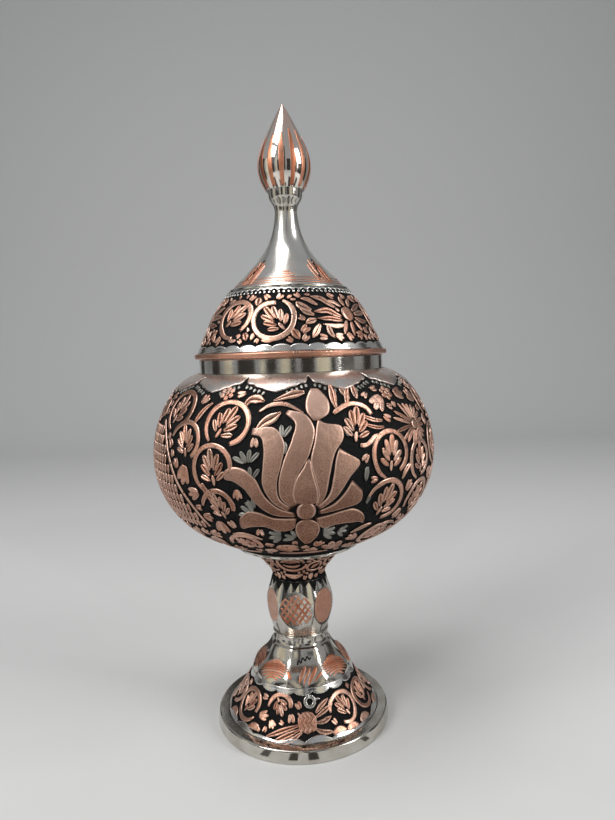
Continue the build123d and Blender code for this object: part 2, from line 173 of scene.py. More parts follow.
def metal(name, polish):
    """Starts the finish of a metal with an even roughness."""
    finish = bpy.data.materials.new(name)
    finish.use_nodes = True
    shader = finish.node_tree.nodes["Principled BSDF"]
    shader.inputs["Metallic"].default_value = 1.0
    shader.inputs["Roughness"].default_value = polish
    return finish, finish.node_tree, shader.inputs


def tin_finish(name, bright, dull, smooth_part, worn_part, ring_size):
    """Polished tin with clouds of a duller tone, lathe rings and faint pits."""
    finish, tree, sockets = metal(name, smooth_part)
    clouds = mottle(tree, 9 * mm)
    join(tree, sockets["Base Color"], shades(tree, clouds, (0.3, dull), (0.62, bright)))
    join(tree, sockets["Roughness"], shades(tree, clouds, (0.3, worn_part), (0.6, smooth_part)))
    rings = dented(tree, lathe_lines(tree, ring_size), 0.02 * mm, 0.6)
    pits = shades(tree, mottle(tree, 0.8 * mm), (0.3, 0.0), (0.42, 1.0))
    join(tree, sockets["Normal"], dented(tree, pits, 0.02 * mm, 0.3, rings))
    return finish


bright_tin = tin_finish("bright_tin", (0.68, 0.655, 0.60), (0.53, 0.49, 0.43), 0.09, 0.18, 0.35 * mm)


def dress(node_name, finish):
    """Gives a CAD piece its finish."""
    piece = frame["nodes"][node_name]
    piece.data.materials.clear()
    piece.data.materials.append(finish)


dress("foot_rim", bright_tin)

# Foot skirt
# A raised copper cone. Its pattern stands up from a ground that was sunk with punches and blackened.
# Rings with leaves run round it, with a bird in front and behind, and bright points along both edges.
relief_depth = 0.85  # mm from the sunk ground to the top of the pattern
chased_wall = 1.6  # mm from the top of the pattern to the inside
end_gap = 0.05  # mm that the pattern stays inside the ends of its piece
turned_steps = 288
sharp_corner = math.radians(40)


def soft_line(points, step):
    """Evenly spaced points on a soft curve through the given ones."""
    points = np.array(points, float)
    gap = np.hypot(*np.diff(points[:, :2], axis=0).T)
    along = np.concatenate([[0.0], np.cumsum(gap)])
    slope = np.diff(points, axis=0) / gap[:, None]
    before, after = gap[:-1, None], gap[1:, None]
    pull = np.vstack([slope[:1], (slope[:-1] * after + slope[1:] * before) / (before + after), slope[-1:]])
    where = np.linspace(0, along[-1], max(7, int(along[-1] / step) + 1))
    left = np.clip(np.searchsorted(along, where, side="right") - 1, 0, len(gap) - 1)
    span = gap[left, None]
    share = (where - along[left])[:, None] / span
    back = 1 - share
    return (
        (1 + 2 * share) * back**2 * points[left]
        + share * back**2 * span * pull[left]
        + share**2 * (3 - 2 * share) * points[left + 1]
        - share**2 * back * span * pull[left + 1]
    )


class Skin:
    """The outside of a round piece. A place on it is a turn from the front and a length up its outline."""

    ring_gap = 1.4  # mm between the heights that are read from the CAD piece
    outward = 0.15  # how far out a face has to look to be one of the outside's

    def __init__(self, node_name, bulging=False):
        mesh = frame["nodes"][node_name].data
        widest = {}
        for face in mesh.polygons:
            reach = math.hypot(face.center.x, face.center.y)
            if face.center.x * face.normal.x + face.center.y * face.normal.y > self.outward * reach:
                for corner in face.vertices:
                    x, y, z = mesh.vertices[corner].co / mm
                    height = round(z, 2)
                    widest[height] = max(widest.get(height, 0.0), math.hypot(x, y))
        rings = [(widest[height], height) for height in sorted(widest)]
        if bulging:
            rings = self.stretched(rings)
        kept = [rings[0]]
        for ring in rings[1:-1]:
            if math.dist(ring, kept[-1]) > self.ring_gap and math.dist(ring, rings[-1]) > self.ring_gap / 2:
                kept.append(ring)
        self.radii, self.heights = soft_line([*kept, rings[-1]], 0.2).T
        steps = np.hypot(np.diff(self.radii), np.diff(self.heights))
        self.along = np.concatenate([[0.0], np.cumsum(steps)])
        self.length = self.along[-1]
        self.rise = np.gradient(self.heights, self.along)
        self.run = np.gradient(self.radii, self.along)
        self.taken = []

    def stretched(self, rings):
        """Passes over the sunk ground from form to form, as a chased piece bulges all the way."""
        over = []
        for radius, height in rings:
            while len(over) > 1:
                (r_one, z_one), (r_two, z_two) = over[-2:]
                if (r_two - r_one) * (height - z_one) > (z_two - z_one) * (radius - r_one):
                    break
                over.pop()
            over.append((radius, height))
        return over

    def up(self, height):
        """The length up the outline at which the skin has that height."""
        return np.interp(height, self.heights, self.along)

    def radius(self, up):
        """The radius, in mm, at a length up the outline."""
        return np.interp(up, self.along, self.radii)

    def shape(self, turn, up):
        """A factor on the radius, for skins that aren't quite round."""
        return 1.0

    def at(self, turn, up, out):
        """The points, in metres, that stand out from the skin by so many mm."""
        turn = np.radians(turn)
        radius = self.radius(up) * self.shape(turn, up) + out * np.interp(up, self.along, self.rise)
        height = np.interp(up, self.along, self.heights) - out * np.interp(up, self.along, self.run)
        return np.stack([radius * np.sin(turn), -radius * np.cos(turn), height + 0 * radius], -1) * mm


def settle(name, mesh, finishes):
    """Makes a finished object of a mesh, with its faces turned outward."""
    shell = bmesh.new()
    shell.from_mesh(mesh)
    bmesh.ops.recalc_face_normals(shell, faces=shell.faces)
    shell.to_mesh(mesh)
    shell.free()
    mesh.shade_smooth()
    for finish in finishes:
        mesh.materials.append(finish)
    piece = bpy.data.objects.new(name, mesh)
    bpy.context.scene.collection.objects.link(piece)
    return piece


def turned(name, section, finishes, shape=None):
    """Spins a closed outline of (radius, height, finish number), in mm, into a solid."""
    rows = len(section)
    turns = np.arange(turned_steps) * 2 * math.pi / turned_steps
    radii = np.array([point[0] for point in section])
    heights = np.array([point[1] for point in section])
    wide = np.repeat(radii[None], turned_steps, 0)
    if shape is not None:
        wide = wide * shape(turns[:, None], heights[None])
    points = np.stack([
        wide * np.sin(turns)[:, None],
        -wide * np.cos(turns)[:, None],
        np.repeat(heights[None], turned_steps, 0),
    ], -1) * mm
    faces, numbers = [], []
    for column in range(turned_steps):
        here, there = column * rows, (column + 1) % turned_steps * rows
        for row in range(rows):
            after = (row + 1) % rows
            faces.append((here + row, there + row, there + after, here + after))
            numbers.append(section[row][2])
    mesh = bpy.data.meshes.new(name)
    mesh.from_pydata(points.reshape(-1, 3).tolist(), [], faces)
    mesh.polygons.foreach_set("material_index", numbers)
    piece = settle(name, mesh, finishes)
    mesh.set_sharp_from_angle(angle=sharp_corner)
    return piece


def sunk_shell(name, skin, finishes, floor=(), lip=()):
    """A shell whose outside is sunk to the pattern's ground, with level ends left at full height."""
    land, ring_step = 0.5, 1.2
    lengths = np.linspace(land, skin.length - land, int(skin.length / ring_step))
    outer = skin.at(0.0, lengths, -relief_depth) / mm
    bottom, top = skin.heights[0], skin.heights[-1]
    section = [(skin.radii[0], bottom, 0)]
    section += [(-y, z, 0) for x, y, z in outer]
    section += [(skin.radii[-1], top, 1)]
    if lip:
        # The bowl: down from the lip, and across a level floor to the bolt's hole
        section += [(lip[0], top, 1), (lip[0], lip[1], 1)]
        wall = skin.at(0.0, lengths, -chased_wall) / mm
        section += [(-y, z, 1) for x, y, z in reversed(wall) if floor[1] + 0.8 < z < lip[1] - 0.4]
        section += [(-wall[0][1] - 1.0, floor[1], 1), (floor[0], floor[1], 1), (floor[0], bottom, 1)]
    else:
        # A flare that is open at both ends: the wall is as thick all the way, measured across its slant
        lengths = np.linspace(0, skin.length, len(lengths) + 2)
        full = skin.at(0.0, lengths, 0.0) / mm
        slant = np.interp(lengths, skin.along, skin.rise)
        section += [(-y - chased_wall / steep, z, 1) for (x, y, z), steep in reversed(list(zip(full, slant)))]
    return turned(name, section, finishes)


class Relief:
    """Chased work on one skin, gathered into one mesh of closed solids."""

    # Across a stroke: which side, how far in over the shoulder, share of the flat top, share of the height
    crowned = (
        (-1, 0.0, 1.0, -0.3), (-1, 0.06, 1.0, 0.6), (-1, 0.35, 1.0, 0.92), (-1, 1.0, 1.0, 1.0),
        (-1, 1.0, 0.5, 0.98), (0, 0.0, 0.0, 0.96), (1, 1.0, 0.5, 0.98),
        (1, 1.0, 1.0, 1.0), (1, 0.35, 1.0, 0.92), (1, 0.06, 1.0, 0.6), (1, 0.0, 1.0, -0.3),
    )
    veined = (
        (-1, 0.0, 1.0, -0.3), (-1, 0.06, 1.0, 0.6), (-1, 0.35, 1.0, 0.93), (-1, 1.0, 1.0, 1.0),
        (-1, 1.0, 0.3, 0.84), (0, 0.0, 0.0, 0.25), (1, 1.0, 0.3, 0.84),
        (1, 1.0, 1.0, 1.0), (1, 0.35, 1.0, 0.93), (1, 0.06, 1.0, 0.6), (1, 0.0, 1.0, -0.3),
    )

    def __init__(self, skin, seed, depth=relief_depth, lift=0.0):
        self.skin, self.depth, self.lift = skin, depth, lift
        self.chance = random.Random(seed)
        self.points, self.faces, self.heights, self.rims, self.tones = [], [], [], [], []
        self.count = 0

    def lay(self, turn, up, rises, rims, closed):
        """Adds one solid: rows of places across, and the height of each place over the ground."""
        rows, width = up.shape
        out = self.depth * (rises - 1) + self.lift
        points = self.skin.at(turn, up, out)
        base = self.count
        faces = []
        for row in range(rows if closed else rows - 1):
            here, there = base + row * width, base + (row + 1) % rows * width
            for place in range(width):
                after = (place + 1) % width
                faces.append((here + place, there + place, there + after, here + after))
        if not closed:
            faces.append(tuple(range(base, base + width)))
            faces.append(tuple(range(base + (rows - 1) * width, base + rows * width)))
        self.points.append(points.reshape(-1, 3))
        self.faces += faces
        self.heights.append(np.clip(np.broadcast_to(rises, up.shape), 0, 1).ravel())
        self.rims.append(np.broadcast_to(rims, up.shape).ravel())
        self.tones.append(np.full(up.size, self.chance.random()))
        self.count += up.size
        covered = self.skin.at(turn, up, 0.0) / mm
        edges_and_middle = [0, width // 2 - 1, width // 2, width // 2 + 1, width - 1]
        self.skin.taken += covered[:, edges_and_middle].reshape(-1, 3).tolist()

    def across(self, half, section, shoulder):
        """Places across a stroke, from minus to plus its half width, with a shoulder of even width."""
        edge = np.clip(shoulder / half, 0.1, 0.5)[:, None]
        side, inset, flat, rise = np.array(section).T
        offset = half[:, None] * side * (1 - edge * inset) * flat
        return offset, rise[None], np.where(flat < 1, 1.0, inset)[None]

    def stroke(self, turn, up, path, lean=0.0, size=1.0, vein=False, shoulder=0.8, step=0.7, low=1.0):
        """One raised stroke along a path of (across, up, width) in mm from a place on the skin."""
        x, y, width = soft_line(np.array(path) * size, step).T
        slope = np.gradient(np.stack([x, y]), axis=1)
        slope = slope / np.hypot(*slope)
        half = np.maximum(width, 0.15) / 2
        offset, rises, rims = self.across(half, self.veined if vein else self.crowned, shoulder)
        x = x[:, None] - slope[1][:, None] * offset
        y = y[:, None] + slope[0][:, None] * offset
        lean = math.radians(lean)
        x, y = x * math.cos(lean) + y * math.sin(lean), y * math.cos(lean) - x * math.sin(lean)
        y = np.clip(up + y, end_gap, self.skin.length - end_gap)
        turns = turn + np.degrees(x / self.skin.radius(y))
        self.lay(turns, y, np.where(rises > 0, rises * low, rises), rims, False)

    def petal(self, turn, up, left, right, shoulder=0.9, step=0.8, inset=0.1):
        """A broad form between its two edges, each given as (across, up) in mm from a place on the skin."""
        edges = [soft_line(edge, step / 2) for edge in (left, right)]
        rows = int(max(len(edge) for edge in edges) / 2)
        sides = []
        for edge in edges:
            place = np.linspace(0, len(edge) - 1, rows)
            sides.append(np.stack([np.interp(place, np.arange(len(edge)), column) for column in edge.T]))
        middle = (sides[0] + sides[1]) / 2
        half = np.hypot(*(sides[1] - sides[0])) / 2
        along = (sides[1] - middle) / np.maximum(half, 0.01)
        offset, rises, rims = self.across(np.maximum(half - inset, 0.05), self.crowned, shoulder)
        x = middle[0][:, None] + along[0][:, None] * offset
        y = np.clip(up + middle[1][:, None] + along[1][:, None] * offset, end_gap, self.skin.length - end_gap)
        turns = turn + np.degrees(x / self.skin.radius(y))
        ends = np.clip(np.minimum(np.arange(rows), np.arange(rows)[::-1]) / 1.5, 0.35, 1.0)[:, None]
        self.lay(turns, y, np.where(rises > 0, rises * ends, rises), rims * ends, False)

    def keep_black(self, turn, up, radius):
        """Keeps the filling out of a round place."""
        for reach in np.arange(0.0, radius, 1.2):
            count = max(1, int(reach * 4))
            angles = np.arange(count) * 2 * math.pi / count
            ups = np.clip(up + reach * np.cos(angles), 0, self.skin.length)
            turns = turn + np.degrees(reach * np.sin(angles) / self.skin.radius(ups))
            self.skin.taken += (self.skin.at(turns, ups, 0.0) / mm).tolist()

    def dot(self, turn, up, radius, height=1.0):
        """A round boss."""
        path = [(0, -radius, 0.1)]
        for share in (0.8, 0.4, 0.0, -0.4, -0.8):
            path.append((0, -radius * share, 2 * radius * math.sqrt(1 - share * share)))
        path.append((0, radius, 0.1))
        self.stroke(turn, up, path, step=radius / 5, shoulder=radius * 0.4, low=height)

    def band(self, low, high, shoulder=0.6, columns=1080):
        """A raised ring between two edges, each given as a length up the skin for every turn."""
        turns = np.arange(columns) * 360 / columns
        bottom, top = low(turns), high(turns)
        half = np.maximum(top - bottom, 0.1) / 2
        offset, rises, rims = self.across(half, self.crowned, shoulder)
        self.lay(turns[:, None], ((bottom + top) / 2)[:, None] + offset, rises, rims, True)

    def ring(self, turn, up, radius, start=200.0, sweep=330.0, width=2.3):
        """A scroll: a stem that comes in on a wide curve and runs nearly all the way round."""
        path = []
        bends = 13
        for bend in range(bends):
            share = bend / (bends - 1)
            angle = math.radians(start + sweep * share)
            reach = radius * (1.0 + 0.14 * max(0.0, 1 - share * 5) - 0.06 * max(0.0, share - 0.8) * 5)
            wide = width * min(1.0, 0.5 + share * 4) * (1.0 if share < 0.95 else 0.8)
            wide = wide * self.chance.uniform(0.9, 1.1)
            path.append((reach * math.sin(angle), reach * math.cos(angle), wide))
        self.stroke(turn, up, path, step=0.8, shoulder=0.6)

    def lobe(self, turn, up, root, angle, length, width, bend=0.0, lean=0.0, size=1.0, vein=True):
        """A drop-shaped lobe that grows from a root at an angle and ends round."""
        path = []
        angle = math.radians(angle)
        for share, wide in ((0, 0.2), (0.12, 0.6), (0.4, 0.96), (0.72, 0.98), (0.92, 0.66), (1.0, 0.2)):
            aside = bend * math.sin(share * math.pi / 2) ** 2
            path.append((
                root[0] + length * share * math.sin(angle) + aside * math.cos(angle),
                root[1] + length * share * math.cos(angle) - aside * math.sin(angle),
                width * wide,
            ))
        self.stroke(turn, up, path, lean, size, vein, shoulder=0.5, step=0.5)

    def leaf(self, turn, up, lean, size=1.0, pairs=3):
        """A leaf of packed lobes: one in the middle and pairs below it that spread more and more."""
        jitter = self.chance.uniform
        veined = self.chance.random() < 0.8
        self.lobe(turn, up, (0, -0.8), jitter(-5, 5), 7.6, 2.9, jitter(-0.4, 0.4), lean, size, veined)
        lengths, widths = (6.6, 6.0, 5.0), (2.6, 2.5, 2.2)
        for pair in range(pairs):
            for side in (-1, 1):
                root = (side * (0.9 + 0.25 * pair), -1.8 - 2.0 * pair)
                spread = side * (27 + 18 * pair + jitter(-4, 4))
                bend = side * jitter(-0.9, -0.3)
                self.lobe(turn, up, root, spread, lengths[pair], widths[pair], bend, lean, size, veined)
        foot = -1.6 - 2.1 * pairs
        self.lobe(turn, up, (0, foot), 0, 1.4 - foot * 0.35, 1.6, 0.0, lean, size, False)

    def scroll(self, turn, height, radius, lean, start=200.0, sweep=330.0, pairs=3, stout=2.3):
        """A ring with a leaf inside, on a ground that stays black."""
        up = float(self.skin.up(height))
        self.ring(turn, up, radius, start, sweep, stout)
        leaf_reach = 8.9 if pairs == 3 else 7.9
        self.leaf(turn, up + 0.1 * radius, lean, radius / leaf_reach, pairs)
        self.keep_black(turn, up, radius)

    def free_places(self, size, low, high, keep_off):
        """The places with at least that much bare ground round them, the widest first."""
        skin = self.skin
        tree = KDTree(len(skin.taken))
        for index, place in enumerate(skin.taken):
            tree.insert(place, index)
        tree.balance()
        free = []
        pitch = size * 0.5
        for row in range(int((high - low) / pitch) + 1):
            up = low + row * pitch
            columns = int(2 * math.pi * skin.radius(up) / pitch)
            for column in range(columns):
                turn = (column + self.chance.random()) * 360 / columns
                place = skin.at(turn, np.array(up), 0.0) / mm
                clear = tree.find(place)[2] - keep_off
                if clear > size:
                    free.append((clear, turn, up, place))
        return sorted(free, key=lambda spot: -spot[0])

    def drop(self, turn, up, clear):
        """One small form as large as its place allows: three lobes, two, one or a dot."""
        lean = self.chance.uniform(0, 360)
        if clear > 2.1:
            for side in (-1, 0, 1):
                root, length = (side * clear * 0.16, -clear), clear * (1.95 - 0.25 * abs(side))
                bend = side * -0.2 * clear
                self.lobe(turn, up, root, side * 27, length, clear * 0.66, bend, lean, vein=False)
        elif clear > 1.2:
            for side in (-1, 1):
                root, bend = (side * clear * 0.2, -clear), side * -0.3 * clear
                self.lobe(turn, up, root, side * 20, clear * 1.9, clear * 0.85, bend, lean, vein=False)
        elif clear > 0.9:
            self.lobe(turn, up, (0, -clear), 0, clear * 2, clear * 1.3, 0.3 * clear, lean, vein=False)
        else:
            self.dot(turn, up, clear * 0.9)

    def fill(self, sizes, low, high, keep_off=0.55):
        """Small drops and dots in what is left of the ground, the largest first."""
        for size in sizes:
            chosen = []
            for clear, turn, up, place in self.free_places(size, low, high, keep_off):
                if all(math.dist(place, other) >= reach + clear for other, reach in chosen):
                    chosen.append((place, clear))
                    self.drop(turn, up, min(clear, size * 1.5))

    def make(self, name, finish, body, slot):
        """Turns what was laid into one piece on its body."""
        mesh = bpy.data.meshes.new(name)
        mesh.from_pydata(np.vstack(self.points).tolist(), [], self.faces)
        for field, values in (("rise", self.heights), ("rim", self.rims), ("tone", self.tones)):
            mesh.attributes.new(field, "FLOAT", "POINT").data.foreach_set("value", np.concatenate(values))
        piece = settle(name, mesh, [finish])
        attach(piece, body)
        return piece


def blackened_finish():
    """Punched ground, darkened with liver of sulphur and left rough."""
    finish, tree, sockets = metal("blackened_ground", 0.75)
    sockets["Metallic"].default_value = 0.0
    sockets["Specular IOR Level"].default_value = 0.15
    punched = node(tree, "TexVoronoi", Vector=place_on(tree), Scale=1 / (0.8 * mm))
    soot = shades(tree, mottle(tree, 1.6 * mm), (0.5, 0.0), (0.8, 1.0))
    join(tree, sockets["Base Color"], blend(tree, soot, (0.0035, 0.004, 0.0045), (0.014, 0.012, 0.011)))
    join(tree, sockets["Normal"], dented(tree, punched.outputs["Distance"], 0.25 * mm, 0.8))
    return finish


def stored(tree, field):
    """A value that the relief keeps at each of its points."""
    return node(tree, "Attribute", [("attribute_name", field)]).outputs["Fac"]


def uneven(tree, clouds):
    """A share that differs from form to form, and in clouds within each form."""
    by_form = sum_of(tree, "MULTIPLY", stored(tree, "tone"), 0.4)
    return sum_of(tree, "ADD", by_form, sum_of(tree, "MULTIPLY", clouds, 0.6))


def copper_finish(name, tones, dark, polish, rough, grain, speckles, edge=0.6, tops_only=False):
    """Copper relief: paler on its shoulders, partly burnished and partly a painted edge highlight, darker at
    the foot of its walls and in its pits.
    """
    finish, tree, sockets = metal(name, polish)
    rim = stored(tree, "rim")
    clouds = mottle(tree, 6 * mm, 4.0)
    colour = shades(tree, uneven(tree, clouds), (0.22, tones[0]), (0.48, tones[1]), (0.72, tones[2]))
    # Paler shoulders: partly burnished copper, partly a painted highlight along the edges of each form
    shoulder = sum_of(tree, "MULTIPLY", shades(tree, rim, (0.25, 1.0), (0.95, 0.0)), edge)
    colour = blend(tree, shoulder, colour, tones[3])
    foot = shades(tree, stored(tree, "rise"), (0.5, 1.0), (0.9, 0.0))
    pits = shades(tree, mottle(tree, grain, 5.0), (0.5 - speckles, 1.0), (0.53 - speckles, 0.0))
    if tops_only:
        pits = sum_of(tree, "MULTIPLY", pits, shades(tree, rim, (0.6, 0.0), (1.0, 0.8)))
    worn = sum_of(tree, "MAXIMUM", foot, pits)
    join(tree, sockets["Base Color"], blend(tree, worn, colour, dark))
    polished = shades(tree, clouds, (0.3, rough), (0.7, polish))
    join(tree, sockets["Roughness"], sum_of(tree, "ADD", polished, sum_of(tree, "MULTIPLY", worn, 0.3)))
    waves = dented(tree, mottle(tree, 2.6 * mm, 2.0), 0.3 * mm, 0.7)
    join(tree, sockets["Normal"], dented(tree, mottle(tree, grain, 3.0), 0.05 * mm, 0.7, waves))
    return finish


# The last tone is the pale colour of the shoulders, partly burnished copper and partly painted highlight
copper_tones = ((0.47, 0.21, 0.135), (0.68, 0.37, 0.265), (0.82, 0.51, 0.39), (0.93, 0.70, 0.59))
black_ground = blackened_finish()
tinned_inside = tin_finish("tinned_inside", (0.66, 0.65, 0.62), (0.52, 0.50, 0.47), 0.24, 0.36, 0.5 * mm)
burnished_copper = copper_finish(
    "burnished_copper", copper_tones, (0.03, 0.016, 0.011), 0.24, 0.42, 0.7 * mm, 0.15,
)
edge_tin = tin_finish("edge_tin", (0.78, 0.77, 0.74), (0.66, 0.62, 0.58), 0.14, 0.26, 0.6 * mm)

skirt = Skin("foot_skirt")
skirt_ground = sunk_shell("skirt_ground", skirt, [black_ground, tinned_inside])
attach(skirt_ground, "dish")
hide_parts("foot_skirt")

skirt_edges = Relief(skirt, 11)
edge_waves = 18  # black points along the low edge, and as many scallops along the high one
points_low = skirt.up(6.9)
points_deep = 2.6
scallops_high = skirt.length - 2.0
scallops_deep = 1.7


def edge_at(up):
    """An edge that runs level all the way round."""
    return lambda turn: up + 0 * turn


def both_ways(*half):
    """A path that runs in to its middle and out again as its mirror image."""
    return [(-x, y, wide) for x, y, wide in half] + list(half[-2::-1])


def pointed(turn):
    """The bright lower edge, bitten into black points of uneven depth."""
    uneven_depth = 0.62 + 0.38 * np.sin(np.radians(turn * 5 + 40))
    waves = np.abs(np.sin(np.radians(turn * edge_waves / 2))) ** 0.8
    return points_low + points_deep * (waves * uneven_depth)


def scalloped(turn):
    """The low side of the bright upper edge."""
    return scallops_high - scallops_deep * np.abs(np.cos(np.radians(turn * edge_waves / 2))) ** 0.6


skirt_edges.band(edge_at(end_gap), pointed)
skirt_edges.band(scalloped, edge_at(skirt.length - end_gap))

# The bird: a bright ringed head with a beak, a hatched body, a long left wing and a shorter right one
bird_turn, bird_head_height, bird_body_height = 6.2, 20.4, 13.4
head_radius = 2.2
beak = [(2.6, 0.6, 1.0), (3.9, 0.9, 1.0), (5.0, 0.6, 0.3)]
body = [(0, -5.0, 1.0), (0, -3.6, 6.4), (0, -0.4, 9.0), (0, 2.6, 7.6), (0, 4.4, 2.0)]
feathers = (
    (-3.8, -1.2, -11.0, -3.6, -20.5, -7.6), (-3.4, -2.8, -10.0, -5.8, -17.5, -9.4),
    (-2.8, -4.2, -8.0, -7.6, -13.6, -10.0), (4.2, 3.4, 7.4, 6.2, 10.8, 8.4), (4.4, 1.6, 8.4, 3.6, 13.0, 5.6),
    (4.2, -0.8, 8.2, -0.6, 12.0, 0.6), (3.6, -3.2, 7.4, -5.0, 12.4, -6.0),
)
head = []
for angle in range(0, 360, 30):
    bearing = math.radians(angle)
    head.append((head_radius * math.sin(bearing), head_radius * math.cos(bearing), 1.7))
bird = Relief(skirt, 13)
for half_turn in (0, 180):
    turn, up = half_turn + bird_turn, float(skirt.up(bird_head_height))
    skirt_edges.stroke(turn, up, [*head, head[0]], step=0.5, shoulder=0.5)
    skirt_edges.stroke(turn, up, beak, step=0.4, shoulder=0.4)
    bird.keep_black(turn, up, 1.6)
    turn, up = half_turn + bird_turn - 3.6, float(skirt.up(bird_body_height))
    bird.stroke(turn, up, body, low=0.78)
    for row in range(4):
        side = 1 if row % 2 else -1
        for place in (-1.5, -0.5, 0.5, 1.5):
            bird.lobe(turn, up, (place * 2.0 - side * 0.6, 1.6 - row * 2.0), side * 38, 2.9, 1.1, vein=False)
    for x_one, y_one, x_two, y_two, x_three, y_three in feathers:
        half_way = ((x_two + x_three) / 2, (y_two + y_three) / 2, 2.2)
        feather = [(x_one, y_one, 1.0), (x_two, y_two, 2.5), half_way, (x_three, y_three, 0.5)]
        bird.stroke(turn, up, feather, vein=True, step=0.6)
bird.make("skirt_bird", burnished_copper, "dish", "chased_copper")
skirt_edges.make("skirt_edges", edge_tin, "dish", "bright_tin")

# The rings, each given by its turn, height and radius, the lean of its leaf, and where its stem starts
# and how far it runs. Plain leaves lie low between them
skirt_rings = (
    (-57.0, 14.9, 6.9, 15, 120, 345), (-22.4, 18.0, 5.5, 150, 262, 185), (38.4, 15.2, 6.9, -20, 268, 300),
    (67.5, 15.2, 6.6, 10, 120, 345), (95.0, 15.0, 6.5, -10, 200, 330),
)
low_leaves = ((27.5, 8.4), (39.4, 7.9), (-41.4, 8.8), (54.0, 8.2), (81.0, 8.2), (109.0, 8.4), (-71.5, 8.2))
low_leaf = both_ways((3.6, -0.8, 0.8), (2.2, 0.0, 2.6), (0, 0.5, 3.4))
skirt_work = Relief(skirt, 12)
for half_turn in (0, 180):
    for turn, height, radius, lean, start, sweep in skirt_rings:
        skirt_work.scroll(half_turn + turn, height, radius, lean, start, sweep, pairs=2, stout=2.2)
    for turn, height in low_leaves:
        skirt_work.stroke(half_turn + turn, float(skirt.up(height)), low_leaf)
skirt_work.fill((1.8, 1.2), float(skirt.up(9.4)), scallops_high - 1.2, 0.7)
skirt_work.make("skirt_scrolls", burnished_copper, "dish", "chased_copper")

# Foot trumpet
# A raised flare of tinned copper with eight soft facets, planished over a stake and polished.
# Hatched copper ovals are cut through the tin low on the facets, where the flare turns out.
trumpet = Skin("foot_trumpet")
facets = 8
facet_front = 4.0
facet_depth = 0.5  # as a share of a flat that is cut all the way across
ridge_wear = 0.07


def facet_shape(turns, heights):
    """How far in the skin comes between the facets' ridges, none at the waist and at the edge."""
    share = np.clip((heights - trumpet.heights[0]) / (trumpet.heights[-1] - trumpet.heights[0]), 0, 1)
    half = math.pi / facets
    within = np.abs((turns - math.radians(facet_front) + half) % (2 * half) - half)
    within = half + ridge_wear - np.sqrt((half - within) ** 2 + ridge_wear**2)
    flat = math.cos(half) / np.cos(within)
    fade = np.clip(share / 0.12, 0, 1) * np.clip((1 - share) / 0.25, 0, 1)
    return 1 - (1 - flat) * facet_depth * fade


trumpet.shape = lambda turn, up: facet_shape(turn, np.interp(up, trumpet.along, trumpet.heights))
trumpet_wall = 0.9 * 1.6  # measured level, across the slant of the flare
trumpet_top = 1.2
bolt_hole = 3.3
outline = []
for up in np.linspace(0, trumpet.length, 40):
    outline.append((float(trumpet.radius(up)), float(np.interp(up, trumpet.along, trumpet.heights))))
top_height = outline[-1][1]
section = [(radius, height, 0) for radius, height in outline]
section += [(bolt_hole, top_height, 1), (bolt_hole, top_height - trumpet_top, 1)]
for radius, height in reversed(outline):
    if height < top_height - trumpet_top:
        section.append((radius - trumpet_wall, height, 1))
trumpet_shell = turned("trumpet_shell", section, [bright_tin, tinned_inside], facet_shape)
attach(trumpet_shell, "dish")
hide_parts("foot_trumpet")


def engraved_finish(name, deep, plain, worn):
    """Bare copper where the tin was cut away, brushed along the cuts."""
    finish, tree, sockets = metal(name, 0.3)
    clouds = mottle(tree, 3 * mm, 4.0)
    colour = shades(tree, uneven(tree, clouds), (0.25, deep), (0.5, plain), (0.75, worn))
    join(tree, sockets["Base Color"], colour)
    join(tree, sockets["Roughness"], shades(tree, clouds, (0.3, 0.42), (0.7, 0.24)))
    join(tree, sockets["Normal"], dented(tree, mottle(tree, 0.6 * mm, 3.0), 0.08 * mm, 0.8))
    return finish


engraved_tones = ((0.50, 0.17, 0.09), (0.70, 0.30, 0.18), (0.82, 0.46, 0.33))
brushed_tones = ((0.64, 0.32, 0.22), (0.76, 0.44, 0.32), (0.84, 0.56, 0.45))
engraved_copper = engraved_finish("engraved_copper", *engraved_tones)
brushed_copper = engraved_finish("brushed_copper", *brushed_tones)

# Two facets have a fan of cuts, and the others an oval of bowed ones that leans to one side
cut_height = 0.16
cuts_height = 31.0
fan_cuts = (
    (-7.6, -2.8, -22, 4.0, 1.8), (-3.4, -4.6, 20, 8.6, 1.8), (-1.2, -5.2, 22, 8.4, 1.3),
    (1.2, -5.4, 26, 9.0, 1.9), (4.0, -4.4, 40, 6.0, 1.2),
)
oval_wide, oval_high, oval_lean = 8.2, 4.7, 9.6
hatches, sag = 9, 0.9
wide = 2 * oval_high / hatches * 0.9
trumpet_cuts = Relief(trumpet, 21, depth=cut_height, lift=cut_height)
middle = float(trumpet.up(cuts_height))
for facet in range(facets):
    turn = facet_front + facet * 360 / facets
    if facet % 4 == 0:
        for across, foot, lean, length, thick in fan_cuts:
            trumpet_cuts.lobe(turn, middle, (across, foot), lean, length, thick, 0.5, vein=False)
        continue
    lean = oval_lean if facet % 4 == 1 else -oval_lean
    for hatch in range(hatches):
        aside = oval_high * (2 * (hatch + 0.5) / hatches - 1)
        reach = oval_wide * math.sqrt(1 - (aside / oval_high) ** 2) * 0.97
        bow = both_ways((reach, -sag, 0.4 * wide), (reach * 0.5, 0.2 * sag, wide), (0, 0.5 * sag, wide))
        bow = [(x, aside + y, thick) for x, y, thick in bow]
        trumpet_cuts.stroke(turn, middle, bow, lean, shoulder=0.2, step=1.0)
trumpet_cuts.make("trumpet_cuts", engraved_copper, "dish", "polished_copper")
trumpet_points = Relief(trumpet, 22, depth=cut_height, lift=cut_height)
zigzag = [
    (-3.0, -1.2, 0.7), (-2.2, 0.8, 0.7), (-1.2, -0.2, 0.7), (-0.2, 2.0, 0.7),
    (1.0, 0.6, 0.7), (2.0, 2.4, 0.7), (3.2, 1.0, 0.7), (3.8, 2.0, 0.7),
]
for half_turn in (0, 180):
    turn, up = half_turn + facet_front - 2, float(trumpet.up(34.6))
    trumpet_points.stroke(turn, up, zigzag, step=0.4, shoulder=0.2)
